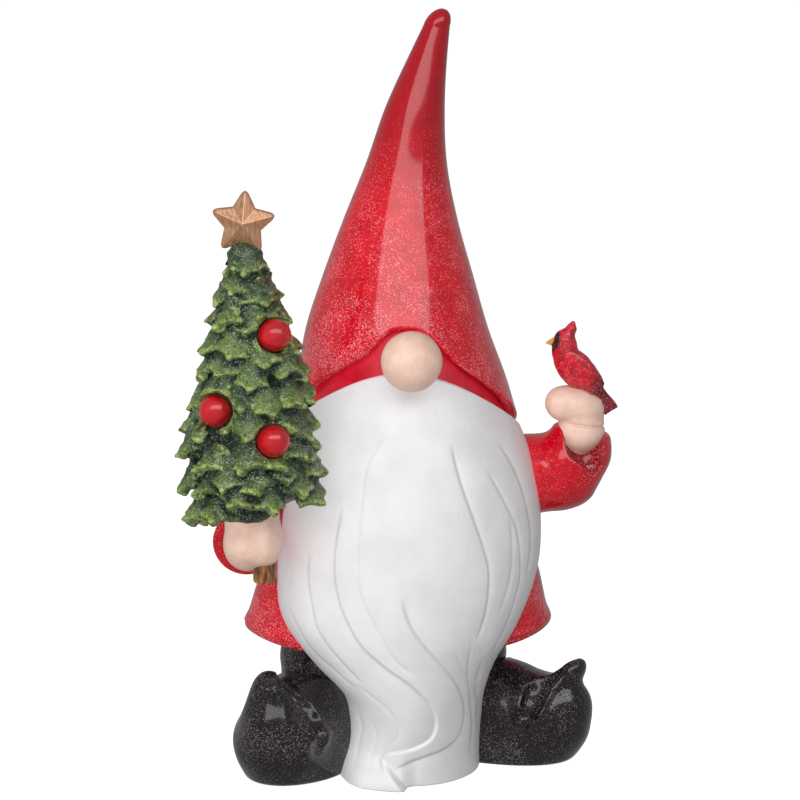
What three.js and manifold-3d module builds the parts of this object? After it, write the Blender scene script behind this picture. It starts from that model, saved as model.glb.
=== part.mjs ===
// A standing garden gnome in painted cast resin, about 403 mm tall. He holds a small decorated fir in
// his right hand, and a red songbird perches on his raised left fist. The figure is made of separate
// castings that plug together: a hollow coat on a pair of trousers and boots, a solid beard that
// reaches the ground, a hollow pointed hat over a neck collar, two sleeves and two hands. Dowels, pegs
// and a wire pin locate the castings. Nothing on it moves.
//
// Units are millimetres. +Z is up, the gnome faces -Y and his left hand is on the +X side. The origin
// is on the flat underside of the beard, midway between the boots.

import * as THREE from "three";
import { mergeVertices } from "three/addons/utils/BufferGeometryUtils.js";
import Module from "manifold-3d";

const wasm = await Module();
wasm.setup();

// ---- Driving dimensions ----

const HEIGHT = 403; // hat tip above the ground
const GAP = 0.3; // clearance between two castings
const COAT_WALL = 6;
const HAT_WALL = 5;
const HEM_Z = 66;
const HEM_LIFT = 7; // how much higher the hem is at the sides than at the front
const NECK_Z = 203;
const LEG_R = 19.5;
const LEG_FOOT_Z = 42; // how far down the legs plug into the boots
const PLATE_Z = [76, 84]; // underside and top of the plate that closes the coat
const PLUG_R = 6;
const DOWEL_R = 3.5;
const NOSE_R = 15.6;
const TRUNK_R = 6;
const BALL_R = 8.3;
const PIN_R = 1;

// Where the feet stand: the ankle, the way the foot points (degrees out from straight ahead), and the
// middle and lean of the tongue that its toe curls up into (distance ahead, height, degrees).
const FEET = {
  right: { ankle: [-49, 10], turn: -24, tongue: [54.5, 49], lean: 20 },
  left: { ankle: [34, 30], turn: 62, tongue: [58.5, 47], lean: 40 },
};

// The fir's leaning axis, from the cut end of the trunk to the star.
const TREE_FOOT = new THREE.Vector3(-73, -66, 115);
const TREE_TOP = new THREE.Vector3(-83.5, -66, 300);
const FOLIAGE_Z = [147, 290];

// ---- Outlines: each row is a height, then the values there ----

// Coat: half width, half depth, centre x, centre y.
const COAT = [
  [HEM_Z, 84, 50, -5, 18],
  [98, 76, 46, -4, 16],
  [130, 64, 42, -2, 14],
  [160, 56, 40, 0, 12],
  [185, 46, 36, 0, 10],
  [NECK_Z, 34, 30, -1, 8],
];
const COAT_YAW = 8; // the coat is turned a little towards his left

// Hat: radius, centre x, centre y.
const HAT = [
  [175, 61.5, -1, 3.5],
  [205, 56, -2.6, 4.5],
  [235, 48.2, -5.8, 5],
  [264, 39.4, -5.3, 5.5],
  [294, 29.8, -3.9, 6],
  [323, 21.3, -0.8, 7],
  [353, 15.4, 3.9, 8],
  [380, 9.8, 10.8, 9.5],
  [394, 7, 14.8, 10],
];
// The hat's rim and the beard's top edge both arch up to the nose, and tilt down to the left.
const ARCH = { front: 9.5, spread: 115, tilt: 7 }; // degrees, degrees, mm
const RIM = { low: 186, rise: 46, notch: 10, notchWidth: 25 }; // the notch clears the nose
const BEARD_TOP = { low: 183, rise: 37 };

// Beard: left x, right x, front y of the left half, front y of the right half, y of the widest place.
// At the foot the left half stands further forward: it is the end of a lock that swings across.
const BEARD = [
  [0, -38, 38.5, -57, -46, -2],
  [14, -33.5, 38.6, -56, -49, -3],
  [28, -31.8, 39.5, -56, -54, -4],
  [42, -34.5, 41, -59, -59, -6],
  [60, -50.5, 46.5, -64, -64, -7],
  [80, -65.5, 58, -68, -68, -7],
  [113, -69, 69.5, -70, -70, -6],
  [135, -67, 70.5, -69, -69, -6],
  [167, -60, 66, -63, -63, -5],
  [190, -56, 57, -56, -56, -1],
  [205, -53, 50, -49.5, -49.5, 2],
  [222, -49, 45, -44, -44, 4],
];
const BEARD_BACK = 13; // depth behind the widest place
const BEARD_SIDES = 36;

// ---- Materials ----

function paint(color, roughness, metalness = 0) {
  return new THREE.MeshStandardMaterial({ color, roughness, metalness });
}
const RED = paint(0xb8101f, 0.35);
const LINING = paint(0xb01626, 0.45);
const WHITE = paint(0xeeedeb, 0.55);
const SKIN = paint(0xe6c3ac, 0.45);
const BLACK = paint(0x1b1a1c, 0.4);
const GREEN = paint(0x3f5a2a, 0.6);
const BROWN = paint(0x7a4a26, 0.6);
const GOLD = paint(0xb98550, 0.35, 0.7);
const BERRY = paint(0xc1121f, 0.25);
const PLUMAGE = paint(0xb3152a, 0.4);
const RESIN = paint(0xd8d0c0, 0.6);
const STEEL = paint(0xb9bcc0, 0.3, 1);
const RUBBER = paint(0x222222, 0.9);

// ---- Tools ----

const degrees = THREE.MathUtils.degToRad;
const vec = (x, y, z) => new THREE.Vector3(x, y, z);

// A smooth function through rows of [position, value, value, ...], where position is mostly a height.
function outline(rows) {
  const count = rows[0].length - 1;
  const curve = new THREE.CubicInterpolant(
    Float32Array.from(rows.map((row) => row[0])),
    Float32Array.from(rows.flatMap((row) => row.slice(1))),
    count,
    new Float32Array(count),
  );
  const first = rows[0][0];
  const last = rows.at(-1)[0];
  return (at) => [...curve.evaluate(THREE.MathUtils.clamp(at, first, last))];
}

function steps(from, to, count) {
  return Array.from({ length: count + 1 }, (_, i) => from + ((to - from) * i) / count);
}

// A closed geometry as a solid that can be joined and cut.
function solid(geometry) {
  const bare = new THREE.BufferGeometry();
  bare.setAttribute("position", geometry.getAttribute("position").clone());
  bare.setIndex(geometry.index);
  const merged = mergeVertices(bare, 1e-4);
  return new wasm.Manifold(
    new wasm.Mesh({
      numProp: 3,
      vertProperties: merged.attributes.position.array,
      triVerts: new Uint32Array(merged.index.array),
    }),
  );
}

// Rows of points, each row a closed ring, skinned from the first to the last. The ends are closed with
// fans, or with joined = true the last row runs on into the first.
function skin(rows, joined = false) {
  const n = rows[0].length;
  const points = rows.flat();
  const index = [];
  const quad = (a, b, c, d) => index.push(a, b, c, a, c, d);
  const spans = joined ? rows.length : rows.length - 1;
  for (let r = 0; r < spans; r++) {
    const next = (r + 1) % rows.length;
    for (let i = 0; i < n; i++) {
      const j = (i + 1) % n;
      quad(r * n + i, r * n + j, next * n + j, next * n + i);
    }
  }
  if (!joined) {
    const lastRow = (rows.length - 1) * n;
    for (const [row, start, flip] of [
      [rows[0], 0, true],
      [rows.at(-1), lastRow, false],
    ]) {
      const centre = row.reduce((sum, p) => sum.add(p), vec(0, 0, 0)).divideScalar(n);
      points.push(centre);
      for (let i = 0; i < n; i++) {
        const a = start + i;
        const b = start + ((i + 1) % n);
        index.push(...(flip ? [points.length - 1, b, a] : [points.length - 1, a, b]));
      }
    }
  }
  const geometry = new THREE.BufferGeometry().setFromPoints(points);
  geometry.setIndex(index);
  const made = solid(geometry);
  if (made.volume() > 0) return made;
  for (let i = 0; i < index.length; i += 3) [index[i], index[i + 1]] = [index[i + 1], index[i]];
  geometry.setIndex(index);
  return solid(geometry);
}

function ellipse(cx, cy, z, a, b, sides, yaw = 0) {
  return steps(0, 1, sides - 1).map((_, i) => {
    const angle = (2 * Math.PI * i) / sides;
    const x = a * Math.cos(angle);
    const y = b * Math.sin(angle);
    const c = Math.cos(degrees(yaw));
    const s = Math.sin(degrees(yaw));
    return vec(cx + x * c - y * s, cy + x * s + y * c, z);
  });
}

function ball(x, y, z, rx, ry = rx, rz = rx, sides = 20) {
  const geometry = new THREE.SphereGeometry(1, sides, sides / 2);
  geometry.rotateX(Math.PI / 2).scale(rx, ry, rz).translate(x, y, z);
  return solid(geometry);
}

// A rod between two points, with a radius at each end.
function rod(from, to, r1, r2 = r1, sides = 16) {
  const along = to.clone().sub(from);
  const geometry = new THREE.CylinderGeometry(r2, r1, along.length(), sides);
  geometry.applyQuaternion(
    new THREE.Quaternion().setFromUnitVectors(vec(0, 1, 0), along.clone().normalize()),
  );
  const middle = from.clone().addScaledVector(along, 0.5);
  geometry.translate(middle.x, middle.y, middle.z);
  return solid(geometry);
}

// A limb: a smooth tube through points with a radius at each, [x, y, z, r].
function limb(joints, sides = 18, count = 9) {
  const path = new THREE.CatmullRomCurve3(joints.map(([x, y, z]) => vec(x, y, z)));
  const radius = outline(joints.map((joint, i) => [i / (joints.length - 1), joint[3]]));
  const frames = path.computeFrenetFrames(count);
  const rows = steps(0, 1, count).map((t, i) => {
    const centre = path.getPoint(t);
    const [r] = radius(t);
    return steps(0, 1, sides - 1).map((_, k) => {
      const angle = (2 * Math.PI * k) / sides;
      return centre
        .clone()
        .addScaledVector(frames.normals[i], r * Math.cos(angle))
        .addScaledVector(frames.binormals[i], r * Math.sin(angle));
    });
  });
  return skin(rows);
}

function union(...solids) {
  return solids.reduce((a, b) => a.add(b));
}

const gnome = new THREE.Group();

function piece(name, made, material) {
  const { numProp, vertProperties, triVerts } = made.getMesh();
  const geometry = new THREE.BufferGeometry();
  geometry.setAttribute("position", new THREE.BufferAttribute(Float32Array.from(vertProperties), numProp));
  geometry.setIndex(new THREE.BufferAttribute(Uint32Array.from(triVerts), 1));
  geometry.computeVertexNormals();
  const mesh = new THREE.Mesh(geometry, material);
  mesh.name = name;
  gnome.add(mesh);
}

// ---- Coat ----

const coatAt = outline(COAT);

// One level of the coat, drawn in by inset from its outer surface.
function coatRing(z, inset = 0, sides = 36) {
  const [a, b, cx, cy] = coatAt(z);
  return ellipse(cx, cy, z, a - inset, b - inset, sides, COAT_YAW);
}

// The hem rises at the sides. The lift dies away towards the neck.
function lifted(ring, z) {
  const share = HEM_LIFT * ((NECK_Z - z) / (NECK_Z - HEM_Z)) ** 2;
  const [, , cx] = coatAt(z);
  const half = Math.max(...ring.map((p) => Math.abs(p.x - cx)));
  return ring.map((p) => vec(p.x, p.y, p.z + share * ((p.x - cx) / half) ** 4));
}

function coatShell() {
  const levels = steps(HEM_Z, NECK_Z, 6);
  const outer = levels.map((z) => lifted(coatRing(z), z));
  const inner = levels.map((z) => lifted(coatRing(z, COAT_WALL), z)).reverse();
  return skin([...outer, ...inner], true);
}

// The coat as a filled body, grown by grow, for cutting its neighbours to fit.
function coatBody(grow = GAP) {
  const hem = lifted(coatRing(HEM_Z, COAT_WALL + grow), HEM_Z);
  const rings = [hem, ...steps(HEM_Z, NECK_Z, 6).map((z) => lifted(coatRing(z, -grow), z))];
  for (const ring of rings.slice(0, 2)) ring.forEach((p) => (p.z -= grow));
  rings.at(-1).forEach((p) => (p.z += grow));
  return skin(rings);
}

// ---- Trousers ----

function leg(foot, radius, bottom, top) {
  const [x, y] = foot.ankle;
  return rod(vec(x, y, bottom), vec(x, y, top), radius, radius, 28);
}

const PLUG_AT = vec(-5, 30, 0);

function trousers() {
  const [under, over] = PLATE_Z;
  const plate = skin(steps(under, over, 2).map((z) => coatRing(z, COAT_WALL + GAP)));
  const legs = Object.values(FEET).map((foot) => leg(foot, LEG_R, LEG_FOOT_Z, under + 1));
  const vent = rod(PLUG_AT.clone().setZ(under - 2), PLUG_AT.clone().setZ(over + 2), PLUG_R + GAP);
  return union(plate, ...legs).subtract(vent);
}

function ventPlug() {
  const [under, over] = PLATE_Z;
  const stem = rod(PLUG_AT.clone().setZ(under - 1), PLUG_AT.clone().setZ(over), PLUG_R);
  const head = rod(PLUG_AT.clone().setZ(under - 3), PLUG_AT.clone().setZ(under - GAP), PLUG_R + 2.5);
  return stem.add(head);
}

// ---- Boots ----

// The sole and the vamp are lumps: distance ahead of the ankle, height, radii along, across and up.
const BOOT_LUMPS = [
  [17, 12, 45, 30, 31],
  [14, 24, 44, 28, 28.5],
];
// The toe cap swells ahead of them: distance ahead, height, radius.
const TOE_CAP = [
  [45, 24, 25],
  [54.5, 34, 16],
];
const TONGUE = { across: 9.5, thick: 6, long: 13 };

function boot(foot, grow = 0) {
  const turn = degrees(foot.turn);
  const [x0, y0] = foot.ankle;
  // A lump is made at the origin with the foot pointing to -Y, leant ahead, and moved to its place.
  const lump = (ahead, z, across, along, up, lean = 0) => {
    const geometry = new THREE.SphereGeometry(1, 18, 10);
    geometry.rotateX(Math.PI / 2).scale(across + grow, along + grow, up + grow);
    geometry.rotateX(degrees(lean)).rotateZ(turn);
    geometry.translate(x0 + ahead * Math.sin(turn), y0 - ahead * Math.cos(turn), z);
    return solid(geometry);
  };
  const body = BOOT_LUMPS.map(([ahead, z, along, across, up]) => lump(ahead, z, across, along, up));
  const cap = TOE_CAP.map(([ahead, z, r]) => lump(ahead, z, r, r, r));
  const tongue = lump(...foot.tongue, TONGUE.across, TONGUE.thick, TONGUE.long, foot.lean);
  const ground = new THREE.BoxGeometry(400, 400, 100).translate(0, 0, -50);
  return union(...body, ...cap, tongue).subtract(solid(ground));
}

function bootWithSocket(foot) {
  return boot(foot).subtract(leg(foot, LEG_R + GAP, LEG_FOOT_Z - GAP, HEM_Z));
}

// ---- Hat and collar ----

const hatAt = outline(HAT);
const TIP_Z = HAT.at(-1)[0];
const HAT_SIDES = 36;

// How far an angle is from the front of the arch, in degrees.
function fromFront(angle) {
  const turn = THREE.MathUtils.radToDeg(angle) - ARCH.front;
  return Math.abs(turn < -180 ? turn + 360 : turn);
}

// 1 at the front of the arch, 0 at the sides and the back.
function arch(angle) {
  const share = Math.min(fromFront(angle) / ARCH.spread, 1);
  return 0.5 + 0.5 * Math.cos(Math.PI * share);
}

function archHeight(angle, { low, rise }) {
  return low - ARCH.tilt * Math.sin(angle) + rise * arch(angle);
}

function rimHeight(angle) {
  return archHeight(angle, RIM) + RIM.notch * Math.exp(-((fromFront(angle) / RIM.notchWidth) ** 6));
}

function hatPoint(angle, z, inset) {
  const [r, cx, cy] = hatAt(z);
  return vec(cx + (r - inset) * Math.sin(angle), cy - (r - inset) * Math.cos(angle), z);
}

const ROUND = steps(0, 1, HAT_SIDES - 1).map((_, i) => {
  const angle = (2 * Math.PI * i) / HAT_SIDES;
  return angle > Math.PI ? angle - 2 * Math.PI : angle;
});

function hatShell() {
  const outer = steps(0, 1, 9).map((t) =>
    ROUND.map((angle) => {
      const rim = rimHeight(angle);
      return hatPoint(angle, rim + (TIP_Z - rim) * t, 0);
    }),
  );
  // The blunt tip is a dome of the last radius, stretched to the full height.
  const [tipR, tipX, tipY] = hatAt(TIP_Z);
  const dome = [35, 65].map((angle) => {
    const r = tipR * Math.cos(degrees(angle));
    const rise = (HEIGHT - TIP_Z) * Math.sin(degrees(angle));
    return ROUND.map((a) => vec(tipX + 0.3 * rise + r * Math.sin(a), tipY - r * Math.cos(a), TIP_Z + rise));
  });
  const innerTop = 350;
  const inner = steps(0, 1, 5).map((t) =>
    ROUND.map((angle) => {
      const rim = rimHeight(angle);
      return hatPoint(angle, rim + (innerTop - rim) * t, HAT_WALL);
    }),
  );
  const peak = ROUND.map((a) => vec(tipX + 2.4 + 0.4 * Math.sin(a), tipY - 0.4 * Math.cos(a), HEIGHT));
  return skin([...inner.reverse(), ...outer, ...dome, peak]);
}

const COLLAR_TOP = 252;
const COLLAR_SLACK = 1.2; // between the collar and the inside of the hat
const COLLAR_BORE = 34;
const COLLAR_SHOWS = { back: -2, front: 18 }; // how far it hangs below the hat's rim

// The collar fits inside the hat and sits on the coat's shoulders. Its lower edge follows the hat's
// rim: it is hidden at the back, and hangs below the rim at the front, behind the beard.
function collarBody(grow = 0) {
  const inset = HAT_WALL + COLLAR_SLACK - grow;
  const rows = steps(0, 1, 5).map((t) =>
    ROUND.map((angle) => {
      const shows = THREE.MathUtils.lerp(COLLAR_SHOWS.back, COLLAR_SHOWS.front, arch(angle) ** 0.5);
      const low = archHeight(angle, RIM) - shows - grow;
      return hatPoint(angle, low + (COLLAR_TOP - low) * t, inset);
    }),
  );
  return skin(rows);
}

const NOSE_AT = vec(1.7, -58, 228);
const NOSE_PEG = { r: 4, to: -33 };

function nosePeg(grow) {
  const end = vec(NOSE_AT.x, NOSE_PEG.to + grow, NOSE_AT.z);
  return rod(NOSE_AT, end, NOSE_PEG.r + grow);
}

function collar() {
  const [, boreX, boreY] = hatAt(COLLAR_TOP);
  const bore = rod(vec(boreX, boreY, 100), vec(boreX, boreY, 300), COLLAR_BORE, COLLAR_BORE, 40);
  return collarBody().subtract(bore).subtract(coatBody()).subtract(nosePeg(GAP));
}

function noseBall(grow = 0) {
  const r = NOSE_R + grow;
  return ball(NOSE_AT.x, NOSE_AT.y, NOSE_AT.z, r, r * 0.95, r, 20);
}

function nose() {
  return noseBall().add(nosePeg(0));
}

// ---- Beard ----

const beardAt = outline(BEARD);

function beardRing(z, grow) {
  const [left, right, leftFront, rightFront, widest] = beardAt(z);
  return steps(0, 1, BEARD_SIDES - 1).map((_, i) => {
    const angle = (2 * Math.PI * (i + 0.5)) / BEARD_SIDES;
    const [across, ahead] = [Math.cos(angle), -Math.sin(angle)];
    const half = (across < 0 ? -left : right) + grow;
    const front = widest - (across < 0 ? leftFront : rightFront);
    const depth = (ahead > 0 ? front : BEARD_BACK) + grow;
    return vec(half * across, widest - depth * ahead, z);
  });
}

function beardBody(grow = 0) {
  const top = BEARD.at(-1)[0];
  return skin(steps(0, top, 16).map((z) => beardRing(z, grow)));
}

// Dowels that hold the beard to the coat: their heights, and how far they run back and forward.
const BEARD_DOWELS = { upper: 152, lower: 100 };
const BEARD_DOWEL_Y = [-18, -46];

function beardDowel(z, grow = 0) {
  const [back, front] = BEARD_DOWEL_Y;
  return rod(vec(0, back + grow, z), vec(0, front - grow, z), DOWEL_R + grow);
}

// The space above the beard's top edge: level from inside the rim out past the beard, then up.
function aboveBeard() {
  const low = (angle) => archHeight(angle, BEARD_TOP);
  const ring = (inset, height) => ROUND.map((angle) => hatPoint(angle, height(angle), inset));
  return skin([ring(20, low), ring(-12, low), ring(-12, () => COLLAR_TOP), ring(20, () => COLLAR_TOP)]);
}

function beard() {
  return beardBody()
    .subtract(coatBody())
    .subtract(aboveBeard())
    .subtract(collarBody(GAP))
    .subtract(noseBall(GAP))
    .subtract(boot(FEET.right, GAP))
    .subtract(boot(FEET.left, GAP))
    .subtract(leg(FEET.right, LEG_R + GAP, 30, PLATE_Z[0]))
    .subtract(leg(FEET.left, LEG_R + GAP, 30, PLATE_Z[0]))
    .subtract(beardDowel(BEARD_DOWELS.upper, GAP))
    .subtract(beardDowel(BEARD_DOWELS.lower, GAP));
}

// ---- Sleeves ----

const RIGHT_SLEEVE = [
  [-44, 14, 158, 18],
  [-66, 12, 142, 19],
  [-81, -6, 131, 18],
  [-82, -28, 131, 17.6],
  [-82, -47, 131, 18],
];
const LEFT_SLEEVE = [
  [44, 14, 162, 17],
  [66, 6, 157, 20],
  [82, 1, 159.5, 19.5],
  [90, -1, 171, 16.5],
  [91.5, -2, 188, 13],
];
const ARM_DOWELS = {
  right: [vec(-44, 13, 157), vec(-72, 8, 139)],
  left: [vec(44, 13, 160), vec(74, 4, 157)],
};

function armDowel(side, grow = 0) {
  const [from, to] = ARM_DOWELS[side];
  const along = to.clone().sub(from).normalize().multiplyScalar(grow);
  return rod(from.clone().sub(along), to.clone().add(along), DOWEL_R + grow);
}

function rightSleeve() {
  const [x, y, z] = RIGHT_SLEEVE.at(-1);
  const mouth = rod(vec(x, y - 1, z), vec(x, y + 14, z), 14.6, 14, 24);
  return limb(RIGHT_SLEEVE)
    .subtract(coatBody())
    .subtract(collarBody(GAP))
    .subtract(beardBody(GAP))
    .subtract(mouth)
    .subtract(armDowel("right", GAP));
}

function leftSleeve() {
  // The wide cuff hangs open at the front, so the mouth leans forward through the front wall.
  const mouth = rod(vec(89, 1, 163), vec(94, -11, 200), 9.5, 14, 24);
  return limb(LEFT_SLEEVE)
    .subtract(coatBody())
    .subtract(collarBody(GAP))
    .subtract(beardBody(GAP))
    .subtract(mouth)
    .subtract(leftHandBody(GAP))
    .subtract(armDowel("left", GAP));
}

// ---- Hands ----

const treeAxis = TREE_TOP.clone().sub(TREE_FOOT).normalize();
const treeAt = (z) => TREE_FOOT.clone().addScaledVector(treeAxis, (z - TREE_FOOT.z) / treeAxis.z);

function trunk(grow = 0) {
  return rod(treeAt(TREE_FOOT.z - grow), treeAt(178 + grow), TRUNK_R + grow, TRUNK_R * 0.8 + grow, 16);
}

function rightHand() {
  const fist = ball(-79, -65, 137.5, 15.2, 13, 13.5, 16);
  const heel = ball(-80, -63, 132.5, 12, 12, 12, 14);
  const wrist = rod(vec(-81.5, -58, 131), vec(-82, -34, 131), 13, 13.2, 16);
  return union(fist, heel, wrist).subtract(trunk(GAP));
}

function leftHandBody(grow = 0) {
  const fist = ball(89.5, -6, 195.5, 13.6 + grow, 11.5 + grow, 9.6 + grow, 14);
  const finger = ball(80.5, -8, 197, 7.5 + grow, 8 + grow, 7.2 + grow, 10);
  const palm = ball(91.8, -5, 184, 11.4 + grow, 10.4 + grow, 10.6 + grow, 12);
  const wrist = rod(vec(90, -4, 184), vec(89.5, -1, 166 - grow), 8 + grow, 7.5 + grow, 12);
  return union(fist, finger, palm, wrist);
}

function leftHand() {
  return leftHandBody().subtract(birdPin(GAP)).subtract(birdBody(GAP));
}

// ---- Songbird ----

const PIN_AT = [vec(86.5, -6.5, 196), vec(86.5, -7, 214)];

function birdPin(grow = 0) {
  const [low, high] = PIN_AT;
  const ends = [low.clone().setZ(low.z - grow), high.clone().setZ(high.z + grow)];
  return rod(ends[0], ends[1], PIN_R + grow, PIN_R + grow, 10);
}

function birdBody(grow = 0) {
  const y = -7.5;
  const body = new THREE.SphereGeometry(1, 16, 10);
  body.scale(9.8 + grow, 8.8 + grow, 14 + grow).rotateY(degrees(-24)).translate(85.4, y, 216.5);
  const head = ball(80.6, y, 230, 7 + grow, 6.4 + grow, 7 + grow, 12);
  const crest = rod(vec(81, y, 232), vec(86.4, y, 240.8), 5 + grow, 0.8 + grow, 12);
  const beak = rod(vec(77, y, 230.6), vec(71.6, y, 230.2), 3 + grow, 0.5 + grow, 10);
  const tail = new THREE.BoxGeometry(7 + 2 * grow, 6 + 2 * grow, 28 + 2 * grow);
  tail.rotateY(degrees(-34)).translate(101.5, y, 205);
  return union(solid(body), head, crest, beak, solid(tail));
}

// ---- Fir ----

const FOLIAGE_R = [27, 5]; // radius of the core at the bottom and at the top
const FOLIAGE_SIDES = 40;
const TIERS = 7;
const SPRAY = { reach: 15, droop: 9, length: 30 };
const STAR = { outer: 16.2, inner: 9.2, thick: 6, lean: 4 };
const STAR_PEG = { r: 2, length: 12 };

// Each ornament: height, then the way it faces round the fir in degrees from straight ahead.
const ORNAMENTS = [
  [245, 44],
  [207, -48],
  [193, 22],
];

function foliageRadius(z) {
  const left = (FOLIAGE_Z[1] - z) / (FOLIAGE_Z[1] - FOLIAGE_Z[0]);
  return THREE.MathUtils.lerp(FOLIAGE_R[1], FOLIAGE_R[0], left ** 0.85);
}

function ornamentFrame([z, facing]) {
  const axis = treeAt(z);
  const out = vec(Math.sin(degrees(facing)), -Math.cos(degrees(facing)), 0);
  const centre = axis.clone().addScaledVector(out, foliageRadius(z) + 6.5);
  return { axis, out, centre };
}

function ornament(spec, grow = 0) {
  const { out, centre } = ornamentFrame(spec);
  const peg = rod(centre, centre.clone().addScaledVector(out, -BALL_R - 5 - grow), 2 + grow, 2 + grow, 10);
  const r = BALL_R + grow;
  return ball(centre.x, centre.y, centre.z, r, r, r, 14).add(peg);
}

// How far the needles stand out at an angle and a height. Each tier is a ring of drooping, rounded
// sprays: flared at the lower edge, which hangs lowest in the middle of each spray, and dying away
// into the core above.
function sprayReach(angle, z) {
  const [low, high] = FOLIAGE_Z;
  const pitch = (high - low) / TIERS;
  let reach = 0;
  for (let tier = 0; tier < TIERS; tier++) {
    const count = 11 - tier;
    const across = (count * angle) / (2 * Math.PI) + 0.37 * tier;
    const u = 2 * (across - Math.round(across));
    const lowerEdge = low + tier * pitch + SPRAY.droop * u * u;
    const above = (z - lowerEdge) / SPRAY.length;
    if (above < 0 || above > 1) continue;
    const flare = Math.min(above / 0.12, 1) * (1 - above);
    reach = Math.max(reach, (SPRAY.reach - 1.1 * tier) * flare * (1 - 0.45 * u * u));
  }
  return reach;
}

function foliage() {
  const [low, high] = FOLIAGE_Z;
  const rows = steps(low, high, 28).map((z) => {
    const centre = treeAt(z);
    return steps(0, 1, FOLIAGE_SIDES - 1).map((_, i) => {
      const angle = (2 * Math.PI * i) / FOLIAGE_SIDES;
      const r = foliageRadius(z) + sprayReach(angle, z);
      return vec(centre.x + r * Math.sin(angle), centre.y - r * Math.cos(angle), z);
    });
  });
  let made = skin(rows)
    .subtract(trunk(GAP))
    .subtract(starPeg(GAP))
    .subtract(star(GAP))
    .subtract(beardBody(GAP))
    .subtract(rightHandEnvelope())
    .subtract(limb(RIGHT_SLEEVE.map(([x, y, z, r]) => [x, y, z, r + GAP])));
  for (const spec of ORNAMENTS) made = made.subtract(ornament(spec, GAP)).subtract(clearing(spec));
  return made;
}

// The sprays stand clear in front of an ornament, so that it shows.
function clearing(spec) {
  const { out, centre } = ornamentFrame(spec);
  return rod(centre, centre.clone().addScaledVector(out, 25), BALL_R + GAP, BALL_R + 6, 14);
}

// The space that the right hand takes under the fir.
function rightHandEnvelope() {
  return ball(-79, -66, 137.5, 16.5, 14.5, 15, 20);
}

function starPeg(grow = 0) {
  const end = TREE_TOP.clone().addScaledVector(treeAxis, -STAR.outer * 0.6 - STAR_PEG.length - grow);
  return rod(end, TREE_TOP, STAR_PEG.r + grow, STAR_PEG.r + grow, 10);
}

// A five-pointed star, raised to a ridge along each point on both faces.
function star(grow = 0) {
  const ring = steps(0, 1, 9).map((_, i) => {
    const angle = (Math.PI * i) / 5 + degrees(STAR.lean);
    const r = (i % 2 ? STAR.inner : STAR.outer) + grow;
    return vec(r * Math.sin(angle), 0, r * Math.cos(angle));
  });
  const front = ring.map((p) => vec(p.x * 0.06, -STAR.thick - grow, p.z * 0.06));
  const back = ring.map((p) => vec(p.x * 0.06, STAR.thick + grow, p.z * 0.06));
  const edge = (y) => ring.map((p) => vec(p.x, y, p.z));
  const rim = 1.2 + grow;
  return skin([front, edge(-rim), edge(rim), back]).translate(TREE_TOP.x, TREE_TOP.y, TREE_TOP.z);
}

// ---- Assembly ----

piece(
  "coat",
  coatShell()
    .subtract(armDowel("right", GAP))
    .subtract(armDowel("left", GAP))
    .subtract(beardDowel(BEARD_DOWELS.upper, GAP))
    .subtract(beardDowel(BEARD_DOWELS.lower, GAP)),
  RED,
);
piece("trousers", trousers(), BLACK);
piece("vent_plug", ventPlug(), RUBBER);
piece("right_boot", bootWithSocket(FEET.right), BLACK);
piece("left_boot", bootWithSocket(FEET.left), BLACK);
piece("neck_collar", collar(), LINING);
piece("hat", hatShell(), RED);
piece("nose", nose(), SKIN);
piece("beard", beard(), WHITE);
piece("beard_dowel_upper", beardDowel(BEARD_DOWELS.upper), RESIN);
piece("beard_dowel_lower", beardDowel(BEARD_DOWELS.lower), RESIN);
piece("right_sleeve", rightSleeve(), RED);
piece("left_sleeve", leftSleeve(), RED);
piece("right_arm_dowel", armDowel("right"), RESIN);
piece("left_arm_dowel", armDowel("left"), RESIN);
piece("right_hand", rightHand(), SKIN);
piece("left_hand", leftHand(), SKIN);
piece("songbird", birdBody().subtract(birdPin(GAP)), PLUMAGE);
piece("songbird_pin", birdPin(), STEEL);
piece("tree_trunk", trunk(), BROWN);
piece("tree_foliage", foliage(), GREEN);
piece("tree_star", star().add(starPeg()), GOLD);
ORNAMENTS.forEach((spec, i) => piece(`tree_ornament_${i + 1}`, ornament(spec), BERRY));

export default gnome;
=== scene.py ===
"""The looks of a painted resin garden gnome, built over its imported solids.

Shapes are worked out in millimetres, in the same frame as the solids: +Z up, the gnome faces -Y and
its left hand is on the +X side. The hat, its band, the coat and the beard are skins swept round an
axis. Every other piece is made of soft joined lumps, given by signed distances, and then skinned.
"""

import math

import bpy
import numpy as np
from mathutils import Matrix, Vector


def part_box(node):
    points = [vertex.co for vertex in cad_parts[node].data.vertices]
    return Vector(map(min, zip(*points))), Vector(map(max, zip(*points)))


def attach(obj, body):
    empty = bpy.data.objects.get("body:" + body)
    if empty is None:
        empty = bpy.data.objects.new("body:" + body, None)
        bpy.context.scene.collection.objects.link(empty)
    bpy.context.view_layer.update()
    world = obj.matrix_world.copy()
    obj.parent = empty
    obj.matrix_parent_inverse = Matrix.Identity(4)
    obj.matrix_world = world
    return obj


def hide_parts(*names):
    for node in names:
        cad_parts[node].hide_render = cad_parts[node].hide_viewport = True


MM = 0.001

# ---- Driving dimensions, in mm and degrees ----

# Hat: height, radius, centre x, centre y.
HAT = [
    (175, 61.5, -1, 3.5),
    (205, 56, -2.6, 4.5),
    (235, 48.2, -5.8, 5),
    (264, 39.4, -5.3, 5.5),
    (294, 29.8, -3.9, 6),
    (323, 21.3, -0.8, 7),
    (353, 15.4, 3.9, 8),
    (380, 9.8, 10.8, 9.5),
    (394, 7, 14.8, 10),
]
HAT_WALL = 5
# The rounding of the hat's rim, how far the rim flares, and how high the hat is lined.
RIM_ROUND = 2.5
RIM_FLARE = 1.1
HAT_LINING = 45

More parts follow.
